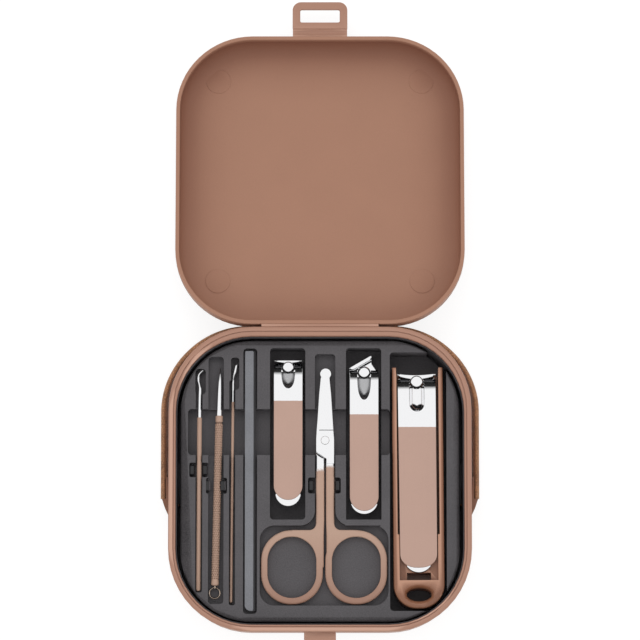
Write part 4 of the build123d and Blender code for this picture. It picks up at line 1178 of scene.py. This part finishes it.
    def plate_tail(self, x):
        """End of the painted plate at a place across."""
        share = min(abs(x) / (self.arm.w / 2), 1.0) ** self.tail_power
        end = self.arm.y0 + self.paint_end
        return end + self.tail_depth * (1 - (1 - share) ** (1 / self.tail_power))

    def lever_section(self, x):
        """Side outline of the lever: flat on top, rolling down to the knuckle at its front."""
        y_pin, z_pin, top = self.post.y, self.pin.z, self.arm.z1
        tail, low = self.plate_tail(x), self.arm.z1 - 1.2
        # eases into a shallow fall, then turns down round the pin
        points = [(y_pin - behind, top - fall) for behind, fall in (
            (4.4, 0.0), (4.0, 0.01), (3.6, 0.034), (3.2, 0.068), (2.8, 0.109), (2.4, 0.156), (1.9, 0.222),
            (1.2, 0.335), (0.4, 0.48), (-0.15, 0.59))]
        r = self.knuckle
        points += [(y_pin + r * cos(radians(a)), z_pin + r * sin(radians(a))) for a in range(20, -150, -17)]
        points += [(y_pin - 1.4, low), (y_pin - 3.0, low), (tail + 0.1, low), (tail + 0.1, low + 0.1),
                   (tail, top - 0.2), (tail + 0.05, top - 0.08), (tail + 0.16, top)]
        return points

    def lever(self, slot_len, straight):
        self.slot_end = self.post.y - slot_len
        top, half = self.arm.z1, self.arm.w / 2
        body = self.name + "_arm"
        shares = [0, 0.25, 0.45, 0.6, 0.72, 0.82, 0.9, 0.95, 0.98, 0.995, 1.0]
        rings = [[(self.x + x, y, z) for y, z in self.lever_section(x)]
                 for x in sorted(both_sides(shares, half))]
        cutter = prism("slot_cutter", self.slot_outline(0.0, straight), self.pin.z - 3, top + 3)
        plate = carve(skin(self.name + "_lever_formed", rings, 38), cutter, angle=38)
        self.widened(plate, lambda y: 1 + self.spread / half * max(
            0.0, (y - self.arm.y0) / (self.arm.y1 - self.arm.y0)))
        # the lever's metal in front of the knuckle takes a painted shade
        finish = painted(self.name + " lever paint", paint_tint, self.paint_front, 0.12, self.post.y - 0.5)
        plate = dressed(soften(plate, 0.16, 3, 42), finish, body, "painted_steel", self.name + "_lever")
        # bare tongue that the plate stands on, a little lower
        r, wide = self.tongue_r, self.tongue_half
        low, steps = self.plate_tail(wide * 0.8) + 1.0, 24
        outline = [(self.x + wide, low), (self.x - wide, low)]
        for x in (-wide + 2 * wide * k / steps for k in range(steps + 1)):
            outline.append((self.x + x, self.arm.y0 + r - sqrt(max(r * r - x * x, 0.0))))
        tongue = soften(prism(self.name + "_lever_tongue", outline, top - 1.6, top - 0.6), 0.42, 4, 50)
        dressed(tongue, chrome_steel, body, "chrome_steel")
        for piece in (plate, tongue, self.dimple(straight, top)):
            self.placed(piece)

    def dimple(self, straight, top):
        """Pressed hollow that closes the opening behind the post."""
        y_cut = self.post.y - 1.9
        kept = [(x, min(y, y_cut)) for x, y in self.slot_outline(0.05, straight)]
        half = max(x for x, y in kept) - self.x
        length = y_cut - self.slot_end
        deep, power = (1.9, 2.0) if straight else (1.5, 2.2)
        rings = []
        for share in (1.0, 0.985, 0.93, 0.85, 0.74, 0.6, 0.44, 0.28, 0.12):
            z = top - (0.3 + deep * (1 - share ** power))
            squeeze = (length - half * (1 - share)) / length
            rings.append([(self.x + (x - self.x) * share, y_cut - (y_cut - y) * squeeze, z) for x, y in kept])
        bowl = skin(self.name + "_lever_dimple", rings, 60, first_cap=False)
        put(bowl.modifiers.new("wall", "SOLIDIFY"), thickness=0.12 * MM, offset=-1)
        metal = chrome_steel if straight else pressed_steel
        return dressed(final(bowl, 60), metal, self.name + "_arm", "chrome_steel")

    def post_piece(self):
        """Post with a domed head over a narrow neck."""
        post = self.post
        head, shaft, edge_r = (post.x1 - post.x0) / 2 + 0.15, 1.15, 0.35
        top, foot = post.z1, post.z0
        stations = [(foot, 1.6), (foot + 0.15, 2.0), (foot + 0.6, 2.05), (foot + 0.62, shaft),
                    (top - 2.7, shaft), (top - 2.2, head + 0.5), (top - 2.0, head + 0.5), (top - 1.3, head),
                    (top - edge_r, head)]
        stations += [(up, out) for out, up in arc(edge_r, 0, 90, 5, head - edge_r, top - edge_r)]
        stations.append((top, 0.3))
        piece = turned(self.name + "_post_head", stations, self.x, post.y, 40)
        self.placed(dressed(piece, chrome_steel, self.name, "chrome_steel", self.name + "_post"))

    def build(self, slot_len, straight):
        self.leaf(False)
        self.leaf(True)
        self.lever(slot_len, straight)
        self.post_piece()
        # the pin is darkened as a painted shade
        repaint(self.name + "_pin", pin_shade_steel)
        repaint(self.name + "_rivet", chrome_steel)


def make_catcher(clipper):
    """Sleeve round the large clipper; its floor stops short in front, under the jaws."""
    span = Span("large_clipper_catcher")
    rail, floor_short = 1.7, 2.4
    notch = block("floor_cutter", span.x0 + rail, span.x1 - rail, span.y1 - floor_short, span.y1 + 1,
                  span.z0 - 1, span.z1 + 1)
    # wide rounded mouth of the keyhole: growth of the ellipse, height from the top
    mouth_y, half_w, half_l = span.y0 + 5.8, 5.1, 2.7
    rings = [[(span.x + (half_w + grow) * cos(a), mouth_y + (half_l + grow) * sin(a), span.z1 + up)
              for a in circle(48)]
             for grow, up in ((-0.05, -2.6), (0.06, -1.9), (0.25, -1.2), (0.55, -0.65), (0.95, -0.25),
                              (1.45, 0.02), (1.45, 0.6))]
    sleeve = carve(copy_of("large_clipper_catcher", "clippings_catcher"), notch)
    sleeve = soften(carve(sleeve, skin("keyhole_cutter", rings)), 0.78, 4, 45)
    # it follows the clipper only in part
    lean_share, shift_share = 0.7, 0.35
    turn(sleeve, lean_share * clipper.lean, "Z", (span.x, clipper.post.y, 0))
    moved(sleeve, shift_share * clipper.shift, 0, 0)
    return dressed(sleeve, catcher_plastic, "large_catcher", "case_plastic", "large_clipper_catcher")


# ======== scissors

def make_scissors():
    pivot = Span("scissors_rivet")
    cut_x, cut_y = pivot.x, pivot.y
    left, right = Span("scissors_half_left"), Span("scissors_half_right")
    low, high = left.z0, right.z1
    blade_t = 1.4
    tip_y = right.y1 - 0.3
    wide = 3.65
    nub = 2.25
    gap = 0.55                 # half the gap between the shanks
    shank_w = 3.2
    ring_top = left.y0 + 30.5
    ring_band, hollow = 2.7, 2.6
    cross_far, cross_near = 4.65, 7.6      # corners of the crossing edge below the pivot
    blade_end = cut_y - 9.6
    shoulder = (cross_near - cross_far) / (wide + gap)
    far_off = 60
    # half width of the blade at places below the tip
    taper = [(3.9, 1.8), (5.5, 1.92), (10.8, 2.45), (21.0, 3.08), (25.1, 3.42), (29.3, wide)]
    for side, node in ((-1, "scissors_half_left"), (1, "scissors_half_right")):
        z0 = low if side < 0 else low + blade_t + 0.1
        inner_x, edge_x = cut_x + side * gap, cut_x + side * (gap + shank_w)
        nose = [*arc(nub, -38, 218, 18, cut_x + 0.2, tip_y - nub)]
        near, far = ([(cut_x + hand * half, tip_y - below) for below, half in taper] for hand in (-side, side))
        near.append((cut_x - side * wide, cut_y - cross_far))
        far.append((cut_x + side * wide, blade_end))
        root = [(inner_x, cut_y - cross_near), (inner_x, blade_end)]
        if side > 0:
            outline = nose + near + root + far[::-1]
        else:
            outline = nose + far + root[::-1] + near[::-1]
        blade = prism(node + "_blade", outline, z0, z0 + blade_t)
        if side > 0:
            # fine line across the blade above the rivet
            blade = carve(blade, block("line_cutter", cut_x - 2.4, cut_x + 3.3, cut_y + 4.1, cut_y + 4.35,
                                       z0 + blade_t - 0.15, z0 + blade_t + 1))
        body_name = "scissors_left" if side < 0 else "scissors_right"
        dressed(soften(blade, 0.16, 3, 25), chrome_steel, body_name, "chrome_steel")
        # shank and ring as one smooth forging
        if side < 0:
            # this shank ends in a slanted shoulder along the other half's crossing edge
            low_y = cut_y - cross_near + 0.15
            front = [(cut_x + 40, low_y - 40 * shoulder), (cut_x + 40, far_off), (cut_x - far_off, far_off),
                     (cut_x - far_off, low_y + far_off * shoulder)]
            cutter = prism("front_cutter", front[::-1], 0, 40)
        else:
            cutter = block("front_cutter", -far_off, far_off, blade_end + 0.9, far_off, 0, 40)
        bow = carve(copy_of(node, node + "_bow"), cutter, angle=60)
        # the ring's top runs straight across into the shank, with a hollow corner
        ring_x = (left.x0 + cut_x - gap) / 2 if side < 0 else (right.x1 + cut_x + gap) / 2
        web_in = [(ring_x, ring_top - ring_band), (ring_x, ring_top), (edge_x + side * hollow, ring_top)]
        web_in += [(edge_x + side * (hollow - x), ring_top + hollow - y) for y, x in arc(hollow, 15, 90, 6)]
        web_in += [(edge_x - side * 1.0, ring_top + hollow), (edge_x - side * 1.0, ring_top - ring_band)]
        if side > 0:
            web_in.reverse()
        bow = carve(bow, prism("ring_web", web_in, low + 0.02, high - 0.02), "UNION", 60)
        put(bow.modifiers.new("skin", "REMESH"), mode="VOXEL", voxel_size=0.2 * MM)
        put(bow.modifiers.new("flow", "SMOOTH"), factor=0.6, iterations=6)
        bow = final(bow, 80)
        # the shanks' flat inner sides stand closer together than their rounded tops
        for vertex in bow.data.vertices:
            off = side * (vertex.co.x / MM - cut_x)
            if 0.0 < off < gap + shank_w:
                near = min(1.0, max(0.0, (vertex.co.y / MM - ring_top + 2.0) / 6.0))
                vertex.co.x -= side * 0.25 * near * (1 - off / (gap + shank_w)) * MM
            vertex.co.z -= 0.02 * MM
        paint_front = 3.9 if side < 0 else 5.4
        # the rings' lower halves take a painted shade
        finish = painted(node + " paint", shank_tint, paint_front, 1.3, fade=(-56.0, -22.0, shank_shade_tint))
        dressed(bow, finish, body_name, "painted_steel", node)
    head, r = pivot.z1, pivot.w / 2
    rivet = turned("scissors_rivet_head", [(pivot.z0, r - 0.2), (pivot.z0 + 0.15, r), (pivot.z0 + 0.2, 1.2),
                                           (head - 0.5, 1.2), (head - 0.4, r), (head - 0.13, r),
                                           (head, r - 0.13), (head, 0.3)], cut_x, cut_y, 40)
    dressed(rivet, chrome_steel, "scissors_pivot", "chrome_steel", "scissors_rivet")


# ======== build

ear_pick_x, needle_x, pusher_x = -49.4, -41.35, -35.7
plain_paint = painted("handle paint", handle_tint)
# darker paint on the grip's core: painted shade in the knurling's valleys
valley_shade_paint = painted("handle valley shade", colour(128, 100, 84))

make_base()
make_catch()
make_lid()
make_lid_lands()
make_hinge_web()
make_hasp()
make_strap()
make_tray()
make_ear_pick()
make_needle_tool()
make_pusher()
make_file()
Clipper("straight_clipper", paint_front=32.5).build(8.8, False)
Clipper("slanted_clipper", rise=4.4, apex=3.0, heel=3.4, paint_front=26.9, paint_end=1.3,
        tongue_half=5.4, tongue_r=5.63, jaw_trim=0.0).build(11.3, False)
large = Clipper("large_clipper", hollow=0.6, paint_front=21.7, paint_end=2.2, tail_power=2.3,
                tongue_half=4.9, tongue_r=6.1, lean=0.55, shift=-0.45, jaw_trim=0.0, leaf_trim=0.55,
                spread=0.25, band=1.25)
large.build(12.3, True)
make_catcher(large)
make_scissors()


# ======== studio

panel_tilt = radians(7.5)       # the view leans back this far, and the bright panel forward
image_width = 640


def make_floor():
    """Pale floor: it keeps the soft shadow and reads as white to the camera and in the metal."""
    size, down = 3.0, -0.0005
    grey, brightness, glow_share = 0.85, 1.16, 0.72
    mesh = bpy.data.meshes.new("floor")
    corners = [(-size, -size), (size, -size), (size, size), (-size, size)]
    mesh.from_pydata(lifted(corners, down), [], [(0, 1, 2, 3)])
    material = bpy.data.materials.new("floor white")
    w = fresh_wires(material)
    matt = w.out("ShaderNodeBsdfDiffuse", inputs={"Color": (grey, grey, grey, 1)})
    glow = w.out("ShaderNodeEmission", inputs={"Color": WHITE, "Strength": brightness})
    rays = w.add("ShaderNodeLightPath").outputs
    seen = w.math("MAXIMUM", rays["Is Camera Ray"], rays["Is Glossy Ray"])
    share = w.math("MULTIPLY", w.math("MAXIMUM", seen, rays["Is Transmission Ray"]), glow_share)
    both = w.out("ShaderNodeMixShader", inputs=(share, matt, glow))
    w.add("ShaderNodeOutputMaterial", inputs=(both,))
    mesh.materials.append(material)
    link(bpy.data.objects.new("floor", mesh))


def make_world():
    """Soft even light; polished metal sees a long bright panel overhead and a dark room round it."""
    world = bpy.data.worlds.new("studio")
    bpy.context.scene.world = world
    w = fresh_wires(world)

    def light(strength):
        return w.out("ShaderNodeBackground", inputs={"Color": WHITE, "Strength": strength})

    rays = w.add("ShaderNodeLightPath").outputs
    direction = w.out("ShaderNodeTexCoord", "Generated")
    above = w.vector("DOT_PRODUCT", "Value", direction, (0.0, sin(panel_tilt), cos(panel_tilt)))
    along = w.vector("DOT_PRODUCT", "Value", direction, (0.0, cos(panel_tilt), -sin(panel_tilt)))
    # the panel fades out between two angles at its ends, and between two at its sides
    panel_light, soft_light = 0.94, 0.93
    ends, sides = (radians(16), radians(10)), (radians(88), radians(68))
    length = w.ramp(w.math("ABSOLUTE", along), sin(ends[0]), sin(ends[1]), 0.0, panel_light)
    width = w.ramp(above, cos(sides[0]), cos(sides[1]))
    rest = w.ramp(above, 0.2, cos(radians(16)), 0.004, 0.018)
    room = light(w.math("ADD", w.math("MULTIPLY", length, width), rest))
    seen = w.out("ShaderNodeMixShader", inputs=(rays["Is Glossy Ray"], light(soft_light), room))
    both = w.out("ShaderNodeMixShader", inputs=(rays["Is Camera Ray"], seen, light(1.0)))
    w.add("ShaderNodeOutputWorld", inputs=(both,))


def make_lamp(name, place, width, length, power):
    """Rectangular lamp aimed at the middle of the case, unseen in the metal."""
    lamp = put(bpy.data.lights.new(name, "AREA"), shape="RECTANGLE", size=width, size_y=length, energy=power)
    aimed = (Vector((0, 0.06, 0)) - Vector(place)).to_track_quat("-Z", "Y").to_euler()
    put(link(bpy.data.objects.new(name, lamp)), location=place, rotation_euler=aimed,
        visible_camera=False, visible_glossy=False)


def make_camera():
    centre_y, centre_z = 0.0653, 0.0235
    distance, tilt, sensor = 2.0, panel_tilt, 36.0
    pixel = 0.0004102           # metres at the case
    data = put(bpy.data.cameras.new("camera"), sensor_width=sensor,
               lens=sensor * distance / (image_width * pixel), clip_end=20)
    place = (0, centre_y - distance * sin(tilt), centre_z + distance * cos(tilt))
    bpy.context.scene.camera = put(link(bpy.data.objects.new("camera", data)), location=place,
                                   rotation_euler=(tilt, 0, 0))


make_floor()
make_world()
make_lamp("key", (-0.12, 0.62, 1.2), 0.55, 0.45, 1.6)
make_lamp("overhead", (0.1, 0.0, 1.3), 0.9, 0.9, 0.3)
make_camera()
bpy.context.scene.view_settings.view_transform = "Standard"
